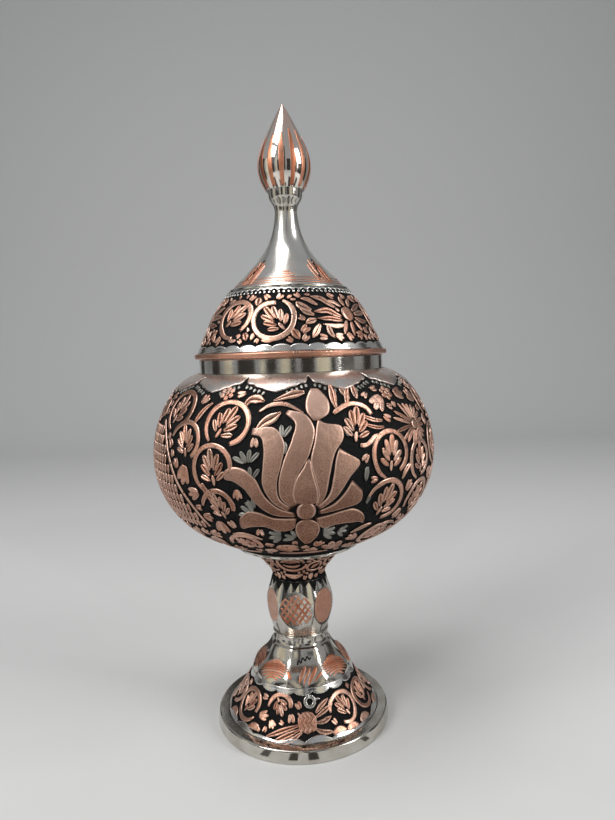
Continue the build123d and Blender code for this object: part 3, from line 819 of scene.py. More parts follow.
trumpet_points.make("trumpet_points", black_ground, "dish", "bright_tin")

# Waist bead
# A thin turned ring, tinned and polished, which hides the joint between trumpet and knop.
# It is slipped over the bolt between the two, and the bolt pulls them tight on it.
dress("waist_bead", bright_tin)

# Stem knop
# A hollow barrel of tinned copper with six round flats ground into it.
# Every other flat is cross-hatched through the tin, and those between are bare brushed copper.
dress("stem_knop", bright_tin)
knop_low, knop_high = (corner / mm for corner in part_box("stem_knop"))
knop_middle = (knop_low.z + knop_high.z) / 2
flat_reach = 14.61  # mm from the axis to a flat
flat_count = 6
flat_front = -8.0
oval_half_wide = 7.2
oval_half_high = 8.6
hatching_reach = 7.7
hatching_half_wide = 7.9
bar_gap = 2.4
bar_widths = ((-1, 0.5), (-0.6, 1.05), (0, 1.15), (0.6, 1.05), (1, 0.5))


class Flat:
    """A flat ground on the knop, as a skin: turn is mm across it and up is mm along it."""

    def __init__(self, turn):
        self.angle = math.radians(turn)
        self.length = 2 * oval_half_high
        self.taken = []

    def radius(self, up):
        """Makes a degree of turn count as one mm."""
        return np.full(np.shape(up), 180 / math.pi)

    def at(self, turn, up, out):
        """The points, in metres, that stand out from the flat by so many mm."""
        reach = flat_reach + out
        x = turn * math.cos(self.angle) + reach * math.sin(self.angle)
        y = turn * math.sin(self.angle) - reach * math.cos(self.angle)
        return np.stack([x, y, knop_middle - oval_half_high + up + 0 * x], -1) * mm


hatched = []
plain = []
for flat in range(flat_count):
    work = Relief(Flat(flat_front + flat * 360 / flat_count), 30 + flat, depth=cut_height, lift=cut_height)
    if flat % 2 == 0:
        # Bars both ways, which end on the oval's outline
        for lean, low in ((-40, 0.85), (34, 1.0)):
            for bar in range(-3, 4):
                aside = bar * bar_gap + work.chance.uniform(-0.25, 0.25)
                round_end = math.sqrt(max(0.0, 1 - (aside / hatching_half_wide) ** 2))
                reach = round_end * hatching_reach * work.chance.uniform(0.92, 1.0)
                path = [(aside, reach * share, wide) for share, wide in bar_widths]
                work.stroke(0.0, oval_half_high, path, lean, shoulder=0.35, step=1.6, low=low)
        hatched.append(work)
    else:
        path = []
        for step in range(9):
            share = -math.cos(math.pi * step / 8)
            wide = 2 * oval_half_wide * math.sqrt(max(0.0, 1 - share * share))
            path.append((0, oval_half_high * share * 0.98, max(0.4, wide)))
        work.stroke(0.0, oval_half_high, path, shoulder=0.4, step=0.6)
        plain.append(work)
for number, work in enumerate(hatched):
    work.make(f"knop_hatching_{number + 1}", engraved_copper, "dish", "polished_copper")
for number, work in enumerate(plain):
    work.make(f"knop_oval_{number + 1}", brushed_copper, "dish", "polished_copper")

# Black points of uneven length are scratched down the knop's neck, under the edge of the cup
knop = Skin("stem_knop")
neck_points = Relief(knop, 40, depth=cut_height, lift=cut_height)
points = 19
for point in range(points):
    hang = neck_points.chance.uniform(2.6, 5.4)
    path = [(0, 0, 5.0), (0, -hang * 0.3, 3.6), (0, -hang * 0.7, 1.7), (0, -hang, 0.2)]
    neck_points.stroke(flat_front + point * 360 / points, knop.length - 0.1, path, shoulder=0.2)
neck_points.make("neck_points", black_ground, "dish", "bright_tin")

# Stem cup
# A raised copper flare that spreads out under the bowl, chased with oval rings on a black ground.
# It stands on the knop's neck and carries the bowl, and its inside is tinned.
cup = Skin("stem_cup")
cup_ground = sunk_shell("cup_ground", cup, [black_ground, tinned_inside])
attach(cup_ground, "dish")
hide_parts("stem_cup")
cup_work = Relief(cup, 41)
cup_rings = 5
cup_front = -10.6
cup_leaf = [(-4.8, 0.2, 0.5), (-2.6, 1.2, 3.4), (0.4, 1.4, 4.6), (3.0, 1.0, 3.0), (4.6, 0.2, 0.5)]
cup_sickle = [(-4.0, 1.0, 0.4), (-1.8, -0.4, 1.5), (0.6, -0.8, 1.9), (2.6, -0.3, 1.4), (4.2, 1.0, 0.4)]
cup_sprig = [(-1.6, -1.4, 0.4), (-0.4, -0.2, 2.0), (0.8, 0.8, 1.8), (1.7, 1.8, 0.4)]
cup_foot_leaf = both_ways((4.6, 1.0, 0.6), (2.4, 0.0, 2.2), (0, -0.4, 2.8))
up, foot_up = float(cup.up(84.6)), float(cup.up(76.0))
for place in range(cup_rings):
    turn = cup_front + place * 360 / cup_rings
    between = turn + 180 / cup_rings
    cup_work.ring(turn, up, 6.7, 100, 350, width=1.7)
    cup_work.stroke(turn, up + 0.8, cup_leaf, step=0.5)
    cup_work.stroke(turn, up - 2.6, cup_sickle, step=0.5)
    cup_work.ring(between, up - 4.0, 3.7, 120, 345, width=1.4)
    cup_work.stroke(between, up - 4.0, cup_sprig, vein=True, step=0.4)
    cup_work.lobe(between, up + 2.4, (0, 0), 0, 5.0, 2.8)
    cup_work.stroke(turn, foot_up, cup_foot_leaf, step=0.5)
    cup_work.lobe(between, 0.6, (0, 0), 0, 3.6, 2.6, vein=False)
cup_work.band(edge_at(cup.length - 1.3), edge_at(cup.length - end_gap))
cup_work.fill((1.2, 0.8), 2.0, cup.length - 2.0, 0.5)
cup_work.make("cup_scrolls", burnished_copper, "dish", "chased_copper")

# Bowl seam ring
# A bright turned ring that covers the corner between the cup and the bowl.
# It is tinned and polished like the foot rim, and held by the pull of the bolt.
dress("bowl_seam_ring", bright_tin)

# Bowl
# The raised body of the dish, tinned inside and chased all over on a black ground.
# One large lotus in front and one behind, with leafy scrolls, flowers and panels of scales between.
bowl = Skin("bowl_shell", bulging=True)
bowl_floor = (bolt_hole, 93.0)
bowl_lip = (41.8, float(bowl.heights[-1]) - chased_wall)
bowl_ground = sunk_shell("bowl_ground", bowl, [black_ground, tinned_inside], bowl_floor, bowl_lip)
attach(bowl_ground, "dish")
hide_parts("bowl_shell")

# The lotus: broad petals that curl over at their ends, in matte stippled copper, each between two edges
lotus_turn = 3.4
lotus_up = float(bowl.up(121.1))
petals = (
    (((-5.5, 2), (-10, 6.5), (-10.5, 12), (-8.5, 20.5), (-4.5, 30), (-3, 36.5), (-6.5, 40.6)),
     ((-3.5, 3), (-5, 8), (-4, 13.5), (2, 24.5), (4, 34.5), (1, 39.5), (-5.6, 41.8))),
    (((-7, 0.2), (-13.5, 5), (-17, 12), (-16.5, 20), (-16, 26.5), (-17, 31), (-20.8, 32.2)),
     ((-6, 1.6), (-10.5, 5.5), (-11.5, 12), (-9.5, 20), (-8, 28.5), (-11, 34), (-20.2, 34.4))),
    (((-4, -2.5), (-13.5, -1), (-20, 4), (-25, 10.5), (-30, 13.5), (-33, 14), (-34, 15.2)),
     ((-4.5, -1), (-11.5, 2), (-16.5, 7), (-20.5, 14.5), (-25, 18), (-30.5, 18.5), (-33.6, 16.8))),
    (((-4, -5), (-5.5, -9), (-11, -10), (-17, -7.5), (-23, -8), (-26.5, -9), (-27.9, -6.8)),
     ((-3.5, -3.5), (-8, -3.5), (-13.5, -3), (-19, -0.5), (-23.5, 0), (-26.5, -2.5), (-27.9, -4.6))),
    (((-0.8, 3), (-4, 4.5), (-5, 8.5), (-3.5, 14), (-0.5, 18.5), (1.3, 21.8)),
     ((0.8, 3), (4, 4), (4.5, 8.5), (3.5, 13), (2.5, 17.5), (1.9, 21.8))),
    (((3.5, 2), (5, 6), (4, 13), (2.5, 20.5), (4.5, 29), (5.5, 34.5), (6.2, 37.4)),
     ((4.5, 1.5), (7.5, 6.5), (9.5, 15), (12, 23.5), (16, 30), (15.5, 33.5), (9, 35.4))),
    (((4.5, 1.5), (9, 6), (11.5, 14.5), (13, 22), (14.3, 25.2)),
     ((5, 0.5), (11.5, 5), (18, 13.5), (22.5, 19), (18, 22.6))),
    (((5, -0.5), (11.5, 2.5), (16.5, 7.5), (19.3, 11.8)),
     ((5, -1.5), (14.5, 0), (23, 3), (23.6, 7.2))),
    (((3.5, -4), (8.5, -3), (14.5, -1.5), (19.5, -1), (24, -4), (25.6, -7.6)),
     ((4, -5.5), (6.5, -9), (12.5, -8), (19, -8), (23.6, -8.6), (25.2, -10.4))),
    (((-0.8, -4), (-3.5, -6), (-4.2, -9.4), (-3.5, -13), (0.3, -21.2)),
     ((1, -4), (4.5, -6.5), (5.4, -9.6), (5, -13), (0.9, -21.2))),
    (((4.5, 37), (2, 41), (2, 45.5), (4.4, 51.8)),
     ((6, 37), (10.5, 40), (11, 44), (7, 51.6))),
)
# The last petal tone is the pale colour of the petals' edges, partly burnished and partly painted highlight
petal_tones = ((0.28, 0.13, 0.08), (0.38, 0.20, 0.13), (0.48, 0.27, 0.19), (0.82, 0.57, 0.46))
petal_top_tone = (0.80, 0.56, 0.46)
# edge=0.85 makes the pale edges stronger on the petals, both the burnish and the painted highlight
stippled_petal = copper_finish(
    "stippled_petal", petal_tones, (0.10, 0.045, 0.03), 0.38, 0.5, 0.42 * mm, 0.075,
    edge=0.85, tops_only=True,
)
# The petals grow paler with height, from 118 mm above the table up to 172 mm
tree = stippled_petal.node_tree
petal_base = tree.nodes["Principled BSDF"].inputs["Base Color"]
paler_upward = node(tree, "MapRange", Value=height_on(tree), From_Min=118 * mm, From_Max=172 * mm, To_Max=0.72)
join(tree, petal_base, blend(tree, paler_upward.outputs["Result"], petal_base.links[0].from_socket, petal_top_tone))
lotus = Relief(bowl, 51)
for half_turn in (0, 180):
    for left, right in petals:
        lotus.petal(half_turn + lotus_turn, lotus_up, left, right, inset=-0.3)
    lotus.dot(half_turn + lotus_turn, lotus_up, 4.0)
lotus.make("bowl_lotus", stippled_petal, "dish", "chased_copper")

# Grey leaves: small clusters of drops between the petals, where the tin was left on. Each is given by mm
# across and above the lotus's middle, its lean, the number of its drops and its size
grey_leaf = tin_finish("grey_leaf", (0.42, 0.41, 0.37), (0.22, 0.21, 0.19), 0.3, 0.45, 0.8 * mm)
leaves = Relief(bowl, 52, lift=-0.1)
clusters = (
    (-9.8, 32.6, -18, 4, 1.0), (-7.6, 26.2, 0, 1, 0.9), (-23.4, 23.0, -10, 4, 1.0),
    (-22.0, 16.6, -4, 3, 0.9), (-24.4, -0.6, -66, 4, 1.1), (-22.0, 3.4, -30, 2, 0.8),
    (-12.6, -13.4, -84, 4, 1.0), (-6.4, -14.2, -60, 3, 0.9), (9.6, -12.4, 80, 4, 1.0),
    (15.4, -13.2, 96, 3, 0.8), (25.6, 13.6, 8, 1, 1.1), (26.4, 2.4, 24, 1, 0.8), (17.6, 31.4, -12, 1, 0.8),
)


def beside_lotus(half_turn, across, above_hub):
    """The turn and the length up of a place given in mm from the lotus's middle."""
    up = lotus_up + above_hub
    return half_turn + lotus_turn + math.degrees(across / float(bowl.radius(up))), up


for half_turn in (0, 180):
    for across, above_hub, lean, count, size in clusters:
        turn, up = beside_lotus(half_turn, across, above_hub)
        for place in range(count):
            fan = (place - (count - 1) / 2) * (34 if count < 4 else 30)
            leaves.lobe(turn, up, (0.03 * fan, -2.4), fan, 5.2, 2.0, 0.012 * fan, lean, size)

# The scrolls: rings of stem with a leaf in each, packed round the lotus and the flowers, and given as the
# skirt's are
scrolls = Relief(bowl, 53)
scroll_places = (
    (-24.9, 156.6, 9.4, 32, 225, 300), (-52.0, 161.2, 8.8, 20, 200, 320), (-43.6, 148.6, 8.3, -14, 280, 220),
    (-29.8, 138.8, 9.2, -8, 210, 250), (-28.8, 122.4, 7.2, -18, 270, 190), (23.4, 154.4, 9.2, 14, 300, 125),
    (36.4, 141.4, 9.3, 8, 200, 310), (53.8, 136.6, 7.9, 0, 200, 330), (35.0, 121.4, 9.2, 24, 290, 250),
    (56.0, 118.6, 8.4, 22, 250, 290), (74.5, 160.0, 8.6, -15, 230, 330), (71.0, 141.0, 8.6, 20, 200, 330),
    (75.0, 122.4, 8.7, -20, 170, 330), (90.5, 134.2, 8.0, 10, 190, 320), (91.0, 151.6, 7.2, -10, 240, 320),
    (-24.0, 104.2, 6.4, -50, 260, 230), (37.5, 104.4, 6.4, 55, 200, 300), (57.0, 100.4, 6.0, 40, 210, 320),
    (74.5, 104.6, 7.0, 10, 180, 320), (94.0, 106.4, 7.2, -20, 210, 320),
)
for half_turn in (0, 180):
    for turn, height, radius, lean, start, sweep in scroll_places:
        scrolls.scroll(half_turn + turn, height, radius, lean, start, sweep)
    scrolls.ring(half_turn + 23.4, float(bowl.up(154.4)), 9.0, 118, 62, 2.0)

# Where the scrolls meet they throw off longer strokes, and half leaves follow their outsides
runs = (
    (-44.0, 41.0, [(-0.8, -5.4, 1.2), (-0.4, -2.0, 2.6), (0.6, 2.0, 2.2), (2.4, 5.4, 1.0)], 20),
    (-41.8, 7.8, [(-2.4, 3.6, 1.0), (-1.2, 0.8, 2.8), (0.8, -2.4, 2.8), (3.2, -5.2, 0.6)], 0),
    (13.6, 47.2, [(-3.4, -4.4, 1.0), (-1.6, -1.4, 2.8), (0.8, 1.8, 3.2), (3.0, 5.4, 0.8)], -34),
    (19.4, 47.0, [(-2.6, -4.8, 0.8), (-1.0, -1.4, 2.2), (1.4, 2.6, 2.0), (4.0, 5.0, 0.6)], -12),
    (30.0, 35.0, [(-5.4, 3.0, 0.6), (-2.4, 1.6, 1.8), (1.2, 0.2, 2.0), (5.2, -0.4, 1.0)], 0),
    (30.4, 32.0, [(-5.2, 2.4, 0.6), (-2.0, 1.0, 1.6), (1.6, 0.0, 1.8), (5.4, -0.2, 1.0)], 0),
    (47.8, 11.4, [(-1.6, -3.2, 0.8), (-0.8, 0.2, 2.6), (0.6, 2.8, 2.4), (2.0, 4.6, 0.6)], 20),
    (38.0, -14.4, [(-7.8, -4.0, 0.8), (-4.0, -1.0, 2.0), (0.6, 0.8, 2.4), (5.4, 0.6, 1.6), (8.4, -0.8, 0.5)],
     10),
    (24.0, -13.6, [(-3.0, -3.4, 0.6), (-1.4, -0.8, 2.2), (0.6, 2.2, 2.4), (2.6, 4.6, 0.6)], 30),
    (-24.0, -14.6, [(-7.0, 1.2, 0.6), (-3.2, 1.6, 2.0), (1.2, 0.6, 2.2), (5.6, -1.8, 0.6)], 0),
)
for half_turn in (0, 180):
    for across, above_hub, path, lean in runs:
        turn, up = beside_lotus(half_turn, across, above_hub)
        scrolls.stroke(turn, up, path, lean, vein=len(path) == 4)
scrolls.make("bowl_scrolls", burnished_copper, "dish", "chased_copper")

# The flowers: a boss with long narrow petals, small ones of dots high on the shoulder, and a crown of
# strokes over the lotus
flowers = Relief(bowl, 54)
long_petals = 19
dot_flowers = ((43.0, 165.6), (-28.3, 168.2), (66.5, 168.4), (93.0, 168.2))
crown = (
    (-13.4, 162.6, [(-5.4, 0.0, 1.8), (-4.6, 2.4, 3.0), (-1.0, 3.8, 4.4), (1.8, 3.0, 1.0)], 10),
    (-8.4, 157.8, [(-6.4, -4.0, 0.8), (-3.0, -1.0, 3.4), (1.2, 0.8, 4.2), (4.6, 2.6, 0.8)], -8),
    (-5.0, 162.4, [(-8.2, -1.6, 0.8), (-3.6, 1.2, 1.8), (1.8, 1.6, 2.0), (7.0, -1.0, 1.0), (9.4, -2.6, 0.5)],
     0),
    (-1.0, 166.4, [(-6.4, -2.4, 0.6), (-1.8, 0.0, 2.8), (2.4, 1.8, 4.0), (5.6, 2.6, 1.6)], 6),
)
for half_turn in (0, 180):
    turn, up = half_turn + 53.2, float(bowl.up(151.4))
    flowers.dot(turn, up, 2.2)
    for petal in range(long_petals):
        angle = petal * 360 / long_petals
        reach = 6.6 + 5.2 * max(0.0, math.cos(math.radians(angle + 78))) ** 2
        root = (2.6 * math.sin(math.radians(angle)), 2.6 * math.cos(math.radians(angle)))
        bend = flowers.chance.uniform(-0.8, 0.8)
        flowers.lobe(turn, up, root, angle, reach, 1.7, bend, vein=petal % 2 == 0)
    for turn, height in dot_flowers:
        up = float(bowl.up(height))
        flowers.dot(half_turn + turn, up, 1.0)
        for petal in range(6):
            angle = math.radians(petal * 60)
            x, y = 2.4 * math.sin(angle), 2.4 * math.cos(angle)
            flowers.dot(half_turn + turn + math.degrees(x / float(bowl.radius(up + y))), up + y, 1.15)
    for turn, height, path, lean in crown:
        flowers.stroke(half_turn + turn, float(bowl.up(height)), path, lean, vein=len(path) == 4)
    for place in (-3.2, 0.4):
        flowers.lobe(half_turn + 26.0, float(bowl.up(166.6)), (place, -2.8), place * 6, 6.4, 2.8)
flowers.make("bowl_flowers", burnished_copper, "dish", "chased_copper")

# The scales: rows of small upright tongues, each row set half a place over, behind a pale edge line
scales = Relief(bowl, 55)
scale_high, scale_wide = 4.1, 2.9
tongue = [(0, -2.1, 0.7), (0, -1.5, 1.7), (0, 0, 2.1), (0, 1.4, 2.0), (0, 1.9, 1.0)]
right_edge = ((112, -38.5), (120, -42.5), (130, -48.5), (140, -53.5), (150, -59.0), (156, -64.0))
left_edge = ((112, -58.0), (120, -70.0), (130, -78.0), (140, -81.0), (150, -80.0), (156, -76.0))
scales_low, scales_high = float(bowl.up(112.5)), float(bowl.up(155.5))
panel_turn, panel_up = -66, float(bowl.up(134))
for half_turn in (0, 180):
    for row in range(int((scales_high - scales_low) / scale_high) + 1):
        up = scales_low + row * scale_high
        height = float(np.interp(up, bowl.along, bowl.heights))
        step = math.degrees(scale_wide / float(bowl.radius(up)))
        first = np.interp(height, *zip(*left_edge)) + (row % 2) * step / 2
        last = np.interp(height, *zip(*right_edge))
        for place in range(int((last - first) / step)):
            turn = half_turn + first + (place + 0.5) * step
            scales.stroke(turn, up, tongue, shoulder=0.6, step=0.55, vein=place % 3 == 1)
    for edge, nudge in ((right_edge, 1.0), (left_edge, -0.6)):
        path = []
        for height, turn in edge:
            up = float(bowl.up(height))
            aside = math.radians(turn - panel_turn + nudge) * float(bowl.radius(up))
            path.append((aside, up - panel_up, 1.5))
        scales.stroke(half_turn + panel_turn, panel_up, path)
scales.make("bowl_scales", burnished_copper, "dish", "chased_copper")

# The shoulder border: twelve plain lobes that hang from the collar, left bright and brushed, with a row of
# small grey drops that follows their edge
border_lobes = 12
border_front = 8.0
border_pitch = 360 / border_lobes
junction_height, tip_height = 172.6, 168.3
notch_high, notch_half_wide = 3.12, 0.95
edge_drops, edge_drop_gap = 5, 1.9


def shoulder_finish():
    """Tin rubbed thin over copper, so that it has a warm grey-pink tone."""
    finish, tree, sockets = metal("rubbed_tin", 0.3)
    clouds = mottle(tree, 6 * mm, 4.0)
    warm, greyer, bare_tin = (0.62, 0.45, 0.38), (0.74, 0.62, 0.56), (0.80, 0.76, 0.72)
    join(tree, sockets["Base Color"], shades(tree, clouds, (0.3, warm), (0.5, greyer), (0.68, bare_tin)))
    join(tree, sockets["Roughness"], shades(tree, clouds, (0.3, 0.4), (0.7, 0.22)))
    grit = dented(tree, mottle(tree, 0.5 * mm, 3.0), 0.06 * mm, 0.7)
    join(tree, sockets["Normal"], dented(tree, lathe_lines(tree, 0.5 * mm), 0.03 * mm, 0.5, grit))
    return finish


rubbed_tin = shoulder_finish()


def border_edge(turn):
    """The lobes' hanging edge, with a drop cut into it where two lobes meet."""
    apart = np.abs((turn - border_front + border_pitch / 2) % border_pitch - border_pitch / 2)
    share = apart * 2 / border_pitch
    height = tip_height + (junction_height - tip_height) * (1 - share) ** 1.1
    height = height + 0.25 * np.cos(np.radians(apart * 80)) * (1 - share)
    return bowl.up(height) + notch_high * np.exp(-((apart / notch_half_wide) ** 4))


border = Relief(bowl, 56)
border.band(border_edge, edge_at(bowl.length - end_gap))
border.make("shoulder_border", rubbed_tin, "dish", "bright_tin")
for lobe in range(border_lobes):
    junction = border_front + lobe * 360 / border_lobes
    for place in range(-edge_drops, edge_drops + 1):
        if place:
            up = float(border_edge(np.array([junction + abs(place) * edge_drop_gap + 1.2]))[0])
            root = (0, -0.6)
            leaves.lobe(junction + place * edge_drop_gap, up - 2.1, root, place * 5, 2.0, 1.25, vein=False)
leaves.make("bowl_grey_leaves", grey_leaf, "dish", "chased_copper")

# Broad lobes lie level just above the seam ring, and drops fill what is left between the forms
filling = Relief(bowl, 57)
low_lobes = 9
broad_lobe = both_ways((10.5, 0.6, 0.8), (7.0, -0.4, 2.2), (0, -1.0, 2.8))
for lobe in range(low_lobes):
    turn = lotus_turn + lobe * 360 / low_lobes
    filling.stroke(turn, float(bowl.up(96.8)), broad_lobe)
    filling.lobe(turn + 180 / low_lobes, float(bowl.up(96.4)), (0, -0.6), 0, 3.8, 2.2)
filling.fill((3.4, 2.2, 1.4), float(bowl.up(99.5)), float(bowl.up(171.0)), 1.0)
filling.make("bowl_filling", burnished_copper, "dish", "chased_copper")

# Mouth collar
# A turned band, polished like a mirror, which stands on the bowl's mouth and centres the lid.
# It is tinned copper too, let into the bowl's mouth and soldered there.
dress("mouth_collar", bright_tin)

# Bolt, nut and washers
# Bought steel hardware, zinc plated, which draws the bowl, the stem and the foot together.
# The finial's stud, which holds the cup and the bud to the lid, is of the same kind.


def steel_finish():
    """Zinc-plated steel, a little blotched."""
    finish, tree, sockets = metal("plain_steel", 0.34)
    clouds = mottle(tree, 4 * mm)
    dull, bright = (0.44, 0.44, 0.43), (0.62, 0.62, 0.60)
    join(tree, sockets["Base Color"], shades(tree, clouds, (0.3, dull), (0.7, bright)))
    join(tree, sockets["Roughness"], shades(tree, clouds, (0.3, 0.45), (0.7, 0.3)))
    join(tree, sockets["Normal"], dented(tree, mottle(tree, 0.7 * mm), 0.04 * mm, 0.5))
    return finish


plain_steel = steel_finish()
for hardware in ("stem_bolt", "bowl_washer", "foot_washer", "stem_nut", "finial_stud"):
    dress(hardware, plain_steel)

# Lid locator
# A turned ring soldered under the lid's rim, which drops inside the collar.
# It keeps the lid in the middle of the mouth, and is tinned like the inside of the bowl.
dress("lid_locator", tinned_inside)

# Lid rim
# A flat turned ring of copper, soldered on under the dome, which overhangs the collar.
# Its edge is left as bare brushed copper, with milled dots along the top.
dress("lid_rim", brushed_copper)
rim = Skin("lid_rim")
milled = Relief(rim, 60, depth=0.1, lift=0.1)
milled_dots = 240
for dot in range(milled_dots):
    milled.dot(dot * 360 / milled_dots, rim.length - 0.5, 0.3)
milled.make("rim_dots", brushed_copper, "lid", "polished_copper")

# Lid dome
# The raised shell of the lid, chased with rings and sprays of leaves on a black ground.
# Bright tin is left on as a scalloped edge along its foot and a beaded one under the spire.
dome = Skin("lid_dome", bulging=True)
dome_ground = sunk_shell("dome_ground", dome, [black_ground, tinned_inside])
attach(dome_ground, "lid")
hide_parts("lid_dome")
dome_edges = Relief(dome, 61)
scallop_low, scallop_deep, foot_scallops = dome.up(186.6), 1.3, 36
top_low, top_deep, top_points = dome.length - 0.9, 0.9, 60
top_beads = 90


def dome_foot_edge(turn):
    """The high side of the bright edge along the dome's foot."""
    return scallop_low + scallop_deep * np.abs(np.sin(np.radians(turn * foot_scallops / 2))) ** 0.6


def dome_top_edge(turn):
    """The low side of the bright edge under the spire."""
    return top_low - top_deep * np.abs(np.sin(np.radians(turn * top_points / 2))) ** 2


dome_edges.band(edge_at(end_gap), dome_foot_edge)
dome_edges.band(dome_top_edge, edge_at(dome.length - end_gap))
for bead in range(top_beads):
    dome_edges.dot(bead * 360 / top_beads, dome.length - 2.7, 0.6)
dome_edges.make("dome_edges", edge_tin, "lid", "bright_tin")

# Two rings and a long spray of leaves follow each other three times round the dome. Each leaf is given by
# the turn and the height of its root, middle and tip, and by its width
dome_work = Relief(dome, 62)
spray_turn, spray_height = 43.0, 200.2
spray = (
    (14.5, 201.6, 7.5, 204.0, 4.8, 205.4, 3.4), (16.0, 199.6, 11.0, 201.0, 7.4, 202.2, 2.6),
    (17.0, 197.6, 13.0, 197.0, 10.0, 196.0, 3.0), (19.0, 195.6, 15.6, 192.2, 13.0, 189.8, 3.0),
    (24.0, 195.4, 24.6, 192.0, 26.6, 189.4, 2.8), (20.0, 204.0, 13.6, 206.6, 8.6, 207.0, 2.4),
    (33.0, 202.8, 24.0, 207.0, 16.4, 208.0, 2.8), (36.0, 198.6, 26.0, 201.6, 16.4, 201.0, 3.2),
    (36.0, 197.0, 27.0, 198.0, 18.0, 198.0, 2.6), (37.0, 195.0, 30.0, 194.6, 21.0, 195.4, 2.4),
    (39.0, 203.4, 34.0, 205.4, 28.0, 206.0, 2.2), (42.6, 203.8, 42.4, 206.0, 42.0, 208.0, 2.4),
    (47.0, 203.6, 50.0, 205.8, 53.0, 207.4, 2.4), (49.0, 201.6, 57.0, 203.6, 64.0, 205.0, 2.6),
    (50.0, 200.0, 58.0, 200.8, 66.5, 200.8, 2.8), (49.0, 198.2, 56.0, 197.0, 63.0, 196.8, 2.6),
    (47.4, 197.0, 50.0, 194.6, 51.6, 192.4, 2.4), (43.4, 196.6, 43.0, 193.6, 42.0, 190.2, 2.4),
    (39.4, 197.0, 37.0, 194.0, 34.4, 191.0, 2.2),
)
bits = (
    (-23.4, 208.0, -23.2, 206.4, -23.0, 204.4, 3.6), (-28.4, 192.8, -27.4, 191.2, -26.4, 189.6, 3.2),
    (-22.4, 192.6, -22.8, 191.0, -23.4, 189.6, 2.4), (1.4, 193.6, 3.4, 191.6, 5.4, 189.4, 3.6),
    (-52.4, 206.6, -50.0, 207.4, -46.0, 207.8, 2.4), (-57.0, 193.4, -55.4, 191.2, -53.0, 189.6, 3.0),
    (-53.4, 201.6, -51.8, 203.8, -50.4, 205.2, 2.2), (-39.6, 190.0, -36.4, 189.6, -33.4, 189.8, 2.0),
    (-17.0, 189.4, -13.0, 189.0, -8.4, 189.4, 2.0), (-1.0, 207.2, 0.4, 208.2, 2.4, 208.6, 1.8),
    (60.0, 191.0, 57.6, 189.4, 55.4, 189.0, 2.2), (66.0, 194.6, 63.6, 192.6, 61.6, 190.8, 2.6),
)
for third in (0, 120, 240):
    dome_work.scroll(third - 39.4, 199.5, 8.5, 40, 170, 330, pairs=2, stout=2.6)
    dome_work.scroll(third - 10.6, 198.2, 9.0, -42, 20, 345, pairs=3, stout=2.6)
    dome_work.dot(third + spray_turn, float(dome.up(spray_height)), 3.6)
    for *places, wide in (*spray, *bits):
        turns, ups = places[::2], [float(dome.up(height)) for height in places[1::2]]
        middle_turn, middle_up = turns[1], ups[1]
        x_root, _, x_tip = (
            math.radians(turn - middle_turn) * float(dome.radius(up)) for turn, up in zip(turns, ups)
        )
        y_root, y_tip = ups[0] - middle_up, ups[2] - middle_up
        path = [
            (x_root, y_root, wide * 0.4), (x_root / 2, y_root / 2, wide * 0.9), (0, 0, wide),
            (x_tip / 2, y_tip / 2, wide * 0.75), (x_tip, y_tip, 0.3),
        ]
        dome_work.stroke(third + middle_turn, middle_up, path, vein=wide > 2.5, step=0.6, shoulder=0.6)
dome_work.fill((1.6, 1.0), float(dome.up(189.2)), dome.length - 3.8, 0.5)
dome_work.make("dome_scrolls", burnished_copper, "lid", "chased_copper")

# Spire lip
# A thin turned ring at the crease between the dome and the spire.
# It is tinned and polished as the spire is, and covers the solder between the two.
dress("spire_lip", bright_tin)

# Lid spire
# A spun cone of tinned copper, drawn in to a narrow neck and polished.
# Four long pointed leaves and some fine rings are engraved through the tin at its foot.
spire_tin = tin_finish("spire_tin", (0.76, 0.745, 0.70), (0.64, 0.61, 0.56), 0.16, 0.27, 0.3 * mm)
dress("lid_spire", spire_tin)
spire = Skin("lid_spire")
engraved_height = 0.14
spire_leaves, leaf_front, marks_front = 4, -48, -2
leaf_cuts = ((-12, 13.0), (-4, 16.0), (4, 16.0), (12, 13.0))
ring_half_wide = 0.16
dashes = (4.6, 4.0, 4.4, 3.2, 2.0)
specks = 6
spire_work = Relief(spire, 71, depth=engraved_height, lift=engraved_height)
for quarter in range(spire_leaves):
    turn = leaf_front + quarter * 360 / spire_leaves
    for place, (lean, length) in enumerate(leaf_cuts):
        side = place - 1.5
        spire_work.lobe(turn, 1.0, (side * 2.1, 0), lean * 0.6, length, 1.7, -side * 0.8)
for ring_up in (1.4, 2.8, 4.4):
    spire_work.band(edge_at(ring_up - ring_half_wide), edge_at(ring_up + ring_half_wide), 0.1)

# Dashes cut across the spire stand between the leaves, and black specks run down the middle of each leaf
spire_marks = Relief(spire, 72, depth=0.18, lift=0.18)
for quarter in range(spire_leaves):
    turn = marks_front + quarter * 360 / spire_leaves
    for dash, reach in enumerate(dashes):
        aside = spire_work.chance.uniform(-0.5, 0.5)
        path = [(aside - reach, 0, 0.3), (aside, 0.1, 1.0), (aside + reach, 0, 0.3)]
        spire_work.stroke(turn, 2.4 + dash * 1.5, path, shoulder=0.2, step=1.0)
    for speck in range(specks):
        across, along = -1.6 + 0.6 * speck, 3.0 + 2.2 * speck
        spire_marks.lobe(turn + leaf_front - marks_front, 1.0, (across, along), -8, 2.4, 0.9, vein=False)
spire_work.make("spire_leaves", engraved_copper, "lid", "polished_copper")
spire_marks.make("spire_specks", black_ground, "lid", "bright_tin")

# Neck plug and finial cup
# A plug fills the spire's end, and a turned calyx stands on it with the bud screwed down on top.
# Both are tinned. The plug carries the thread of the stud.
dress("neck_plug", bright_tin)
dress("finial_cup", bright_tin)

# Finial bud
# A pointed bud spun in two halves and brazed. It is tinned thinly and polished, and the copper shows
# through towards the point. Copper stripes are cut through the tin from the foot upward.


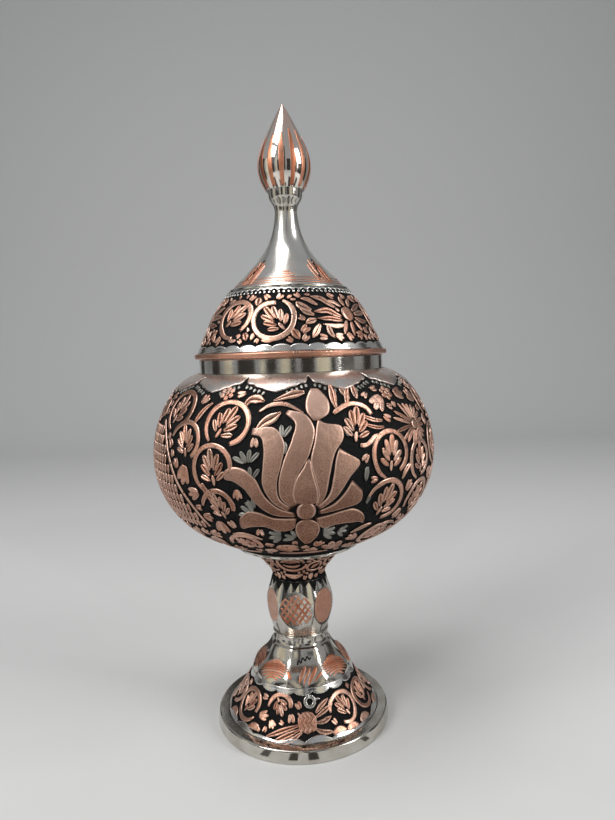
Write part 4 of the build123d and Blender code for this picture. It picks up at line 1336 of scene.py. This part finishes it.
def bud_finish():
    """Thin polished tin, rubbed through to the copper towards the point and in soft clouds."""
    finish, tree, sockets = metal("polished_bud", 0.07)
    clouds = mottle(tree, 7 * mm, 2.0)
    low, high = (corner.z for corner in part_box("finial_bud"))
    point = node(tree, "MapRange", Value=height_on(tree), From_Min=low + 0.45 * (high - low), From_Max=high)
    tinned = shades(tree, clouds, (0.3, (0.78, 0.66, 0.58)), (0.62, (0.80, 0.76, 0.70)))
    join(tree, sockets["Base Color"], blend(tree, point.outputs["Result"], tinned, (0.86, 0.60, 0.50)))
    join(tree, sockets["Roughness"], shades(tree, clouds, (0.3, 0.1), (0.7, 0.055)))
    join(tree, sockets["Normal"], dented(tree, lathe_lines(tree, 0.4 * mm), 0.012 * mm, 0.4))
    return finish


dress("finial_bud", bud_finish())
bud = Skin("finial_bud")
bud_stripes = Relief(bud, 81, depth=engraved_height, lift=engraved_height)
stripes, stripe_front = 14, -6
low, middle = bud.length * 0.015, bud.length * 0.3
for stripe in range(stripes):
    wide = bud_stripes.chance.uniform(0.85, 1.15)
    high = bud.length * bud_stripes.chance.uniform(0.55, 0.68)
    path = [
        (0, low, 1.9 * wide), (0, middle * 0.6, 2.2 * wide), (0, middle, 2.4 * wide),
        (0, (middle + high) / 2, 1.9 * wide), (0, high, 0.5),
    ]
    bud_stripes.stroke(stripe_front + stripe * 360 / stripes, 0.0, path, shoulder=0.25, step=1.0)
bud_stripes.make("bud_stripes", engraved_copper, "lid", "polished_copper")

# Studio
# A pale sweep of card lies under and behind the dish, lit by three soft boxes. Dark and warm cards stand
# round it and dark mats lie near its foot, where only reflections see them, so that the polished metal
# has a room to reflect.


def studio_card(name, colour, rough):
    """Plain painted card."""
    finish = bpy.data.materials.new(name)
    finish.use_nodes = True
    sockets = finish.node_tree.nodes["Principled BSDF"].inputs
    sockets["Base Color"].default_value = (*colour, 1.0)
    sockets["Roughness"].default_value = rough
    return finish


def panel(name, corners, finish, faces=None):
    """A flat board of the studio between its corners, or a bent one of several faces."""
    mesh = bpy.data.meshes.new(name)
    mesh.from_pydata(corners, [], faces or [tuple(range(len(corners)))])
    mesh.materials.append(finish)
    board = bpy.data.objects.new(name, mesh)
    bpy.context.scene.collection.objects.link(board)
    return board


pale_card = studio_card("pale_card", (0.60, 0.60, 0.59), 0.8)
dark_card = studio_card("dark_card", (0.022, 0.017, 0.014), 0.7)
warm_card = studio_card("warm_card", (0.85, 0.78, 0.62), 0.7)
sweep_radius, sweep_front, sweep_back, sweep_wide, sweep_high = 0.5, -2.5, 1.4, 3.0, 2.5
sweep_bends = 12
profile = [(sweep_front, 0.0), (sweep_back - sweep_radius, 0.0)]
for bend in range(1, sweep_bends + 1):
    angle = math.pi / 2 * bend / sweep_bends
    along = sweep_back - sweep_radius + sweep_radius * math.sin(angle)
    profile.append((along, sweep_radius * (1 - math.cos(angle))))
profile.append((sweep_back, sweep_high))
sweep_corners = [(side * sweep_wide, y, z) for y, z in profile for side in (-1, 1)]
sweep_faces = [(2 * i, 2 * i + 1, 2 * i + 3, 2 * i + 2) for i in range(len(profile) - 1)]
floor = panel("floor", sweep_corners, pale_card, sweep_faces)
floor.data.shade_smooth()

# The cards, each by the turns between which it stands, its height and its colour, and the mats, each by
# the turns between which it lies and its near and far edge
card_reach = 0.95
cards = (
    (-66, -43, 0.9, dark_card), (-36, -31, 0.8, warm_card), (-29, -17, 0.55, dark_card),
    (-12, -2, 0.7, warm_card), (-1, 5, 1.5, dark_card), (11, 27, 0.6, dark_card), (30, 46, 0.8, warm_card),
    (48, 53, 0.9, dark_card), (60, 80, 0.9, dark_card), (96, 112, 0.7, dark_card),
    (136, 150, 0.7, dark_card), (172, 190, 0.7, dark_card), (214, 228, 0.7, dark_card),
    (250, 266, 0.7, dark_card), (274, 286, 0.7, warm_card),
)
mats = (
    (-64, -48, 0.10, 0.60), (-31, -25, 0.046, 0.40), (-22, -15, 0.10, 0.40), (-11, -5, 0.046, 0.30),
    (2, 9, 0.046, 0.30), (20, 38, 0.10, 0.50), (44, 49, 0.046, 0.30), (58, 70, 0.09, 0.60),
    (96, 104, 0.046, 0.50), (120, 134, 0.10, 0.40), (150, 158, 0.046, 0.40), (196, 222, 0.09, 0.50),
    (244, 252, 0.046, 0.60), (276, 286, 0.09, 0.40),
)
card_foot = 0.02
mat_height = 1 * mm


def around(turn, reach, height):
    """A place at a turn from the front and a reach from the dish's axis, in metres."""
    return reach * math.sin(math.radians(turn)), -reach * math.cos(math.radians(turn)), height


boards = []
for number, (first, last, high, finish) in enumerate(cards):
    corners = [
        around(first, card_reach, card_foot), around(last, card_reach, card_foot),
        around(last, card_reach, high), around(first, card_reach, high),
    ]
    boards.append(panel(f"card_{number + 1}", corners, finish))
for number, (first, last, near, far) in enumerate(mats):
    corners = [
        around(first, near, mat_height), around(last, near, mat_height),
        around(last, far, mat_height), around(first, far, mat_height),
    ]
    boards.append(panel(f"mat_{number + 1}", corners, dark_card))
for board in boards:
    board.visible_camera = False
    board.visible_shadow = False
    board.visible_diffuse = False


def soft_box(name, place, size, power):
    """A soft box that faces the middle of the dish."""
    lamp = bpy.data.lights.new(name, "AREA")
    lamp.shape = "RECTANGLE"
    lamp.size, lamp.size_y = size
    lamp.energy = power
    box = bpy.data.objects.new(name, lamp)
    box.location = place
    box.rotation_euler = (Vector((0, 0, 0.15)) - Vector(place)).to_track_quat("-Z", "Y").to_euler()
    bpy.context.scene.collection.objects.link(box)


soft_box("soft_box_left", (-0.75, -0.55, 0.75), (0.35, 0.8), 7.0)
soft_box("soft_box_right", (0.8, -0.35, 0.55), (0.3, 0.8), 5.0)
soft_box("soft_box_top", (-0.25, -0.15, 1.1), (0.4, 0.5), 3.4)

world = bpy.data.worlds.new("studio")
bpy.context.scene.world = world
world.use_nodes = True
sky = world.node_tree.nodes["Background"]
sky.inputs["Strength"].default_value = 0.38
sky.inputs["Color"].default_value = (0.9, 0.92, 0.95, 1.0)

bpy.context.scene.view_settings.view_transform = "Standard"
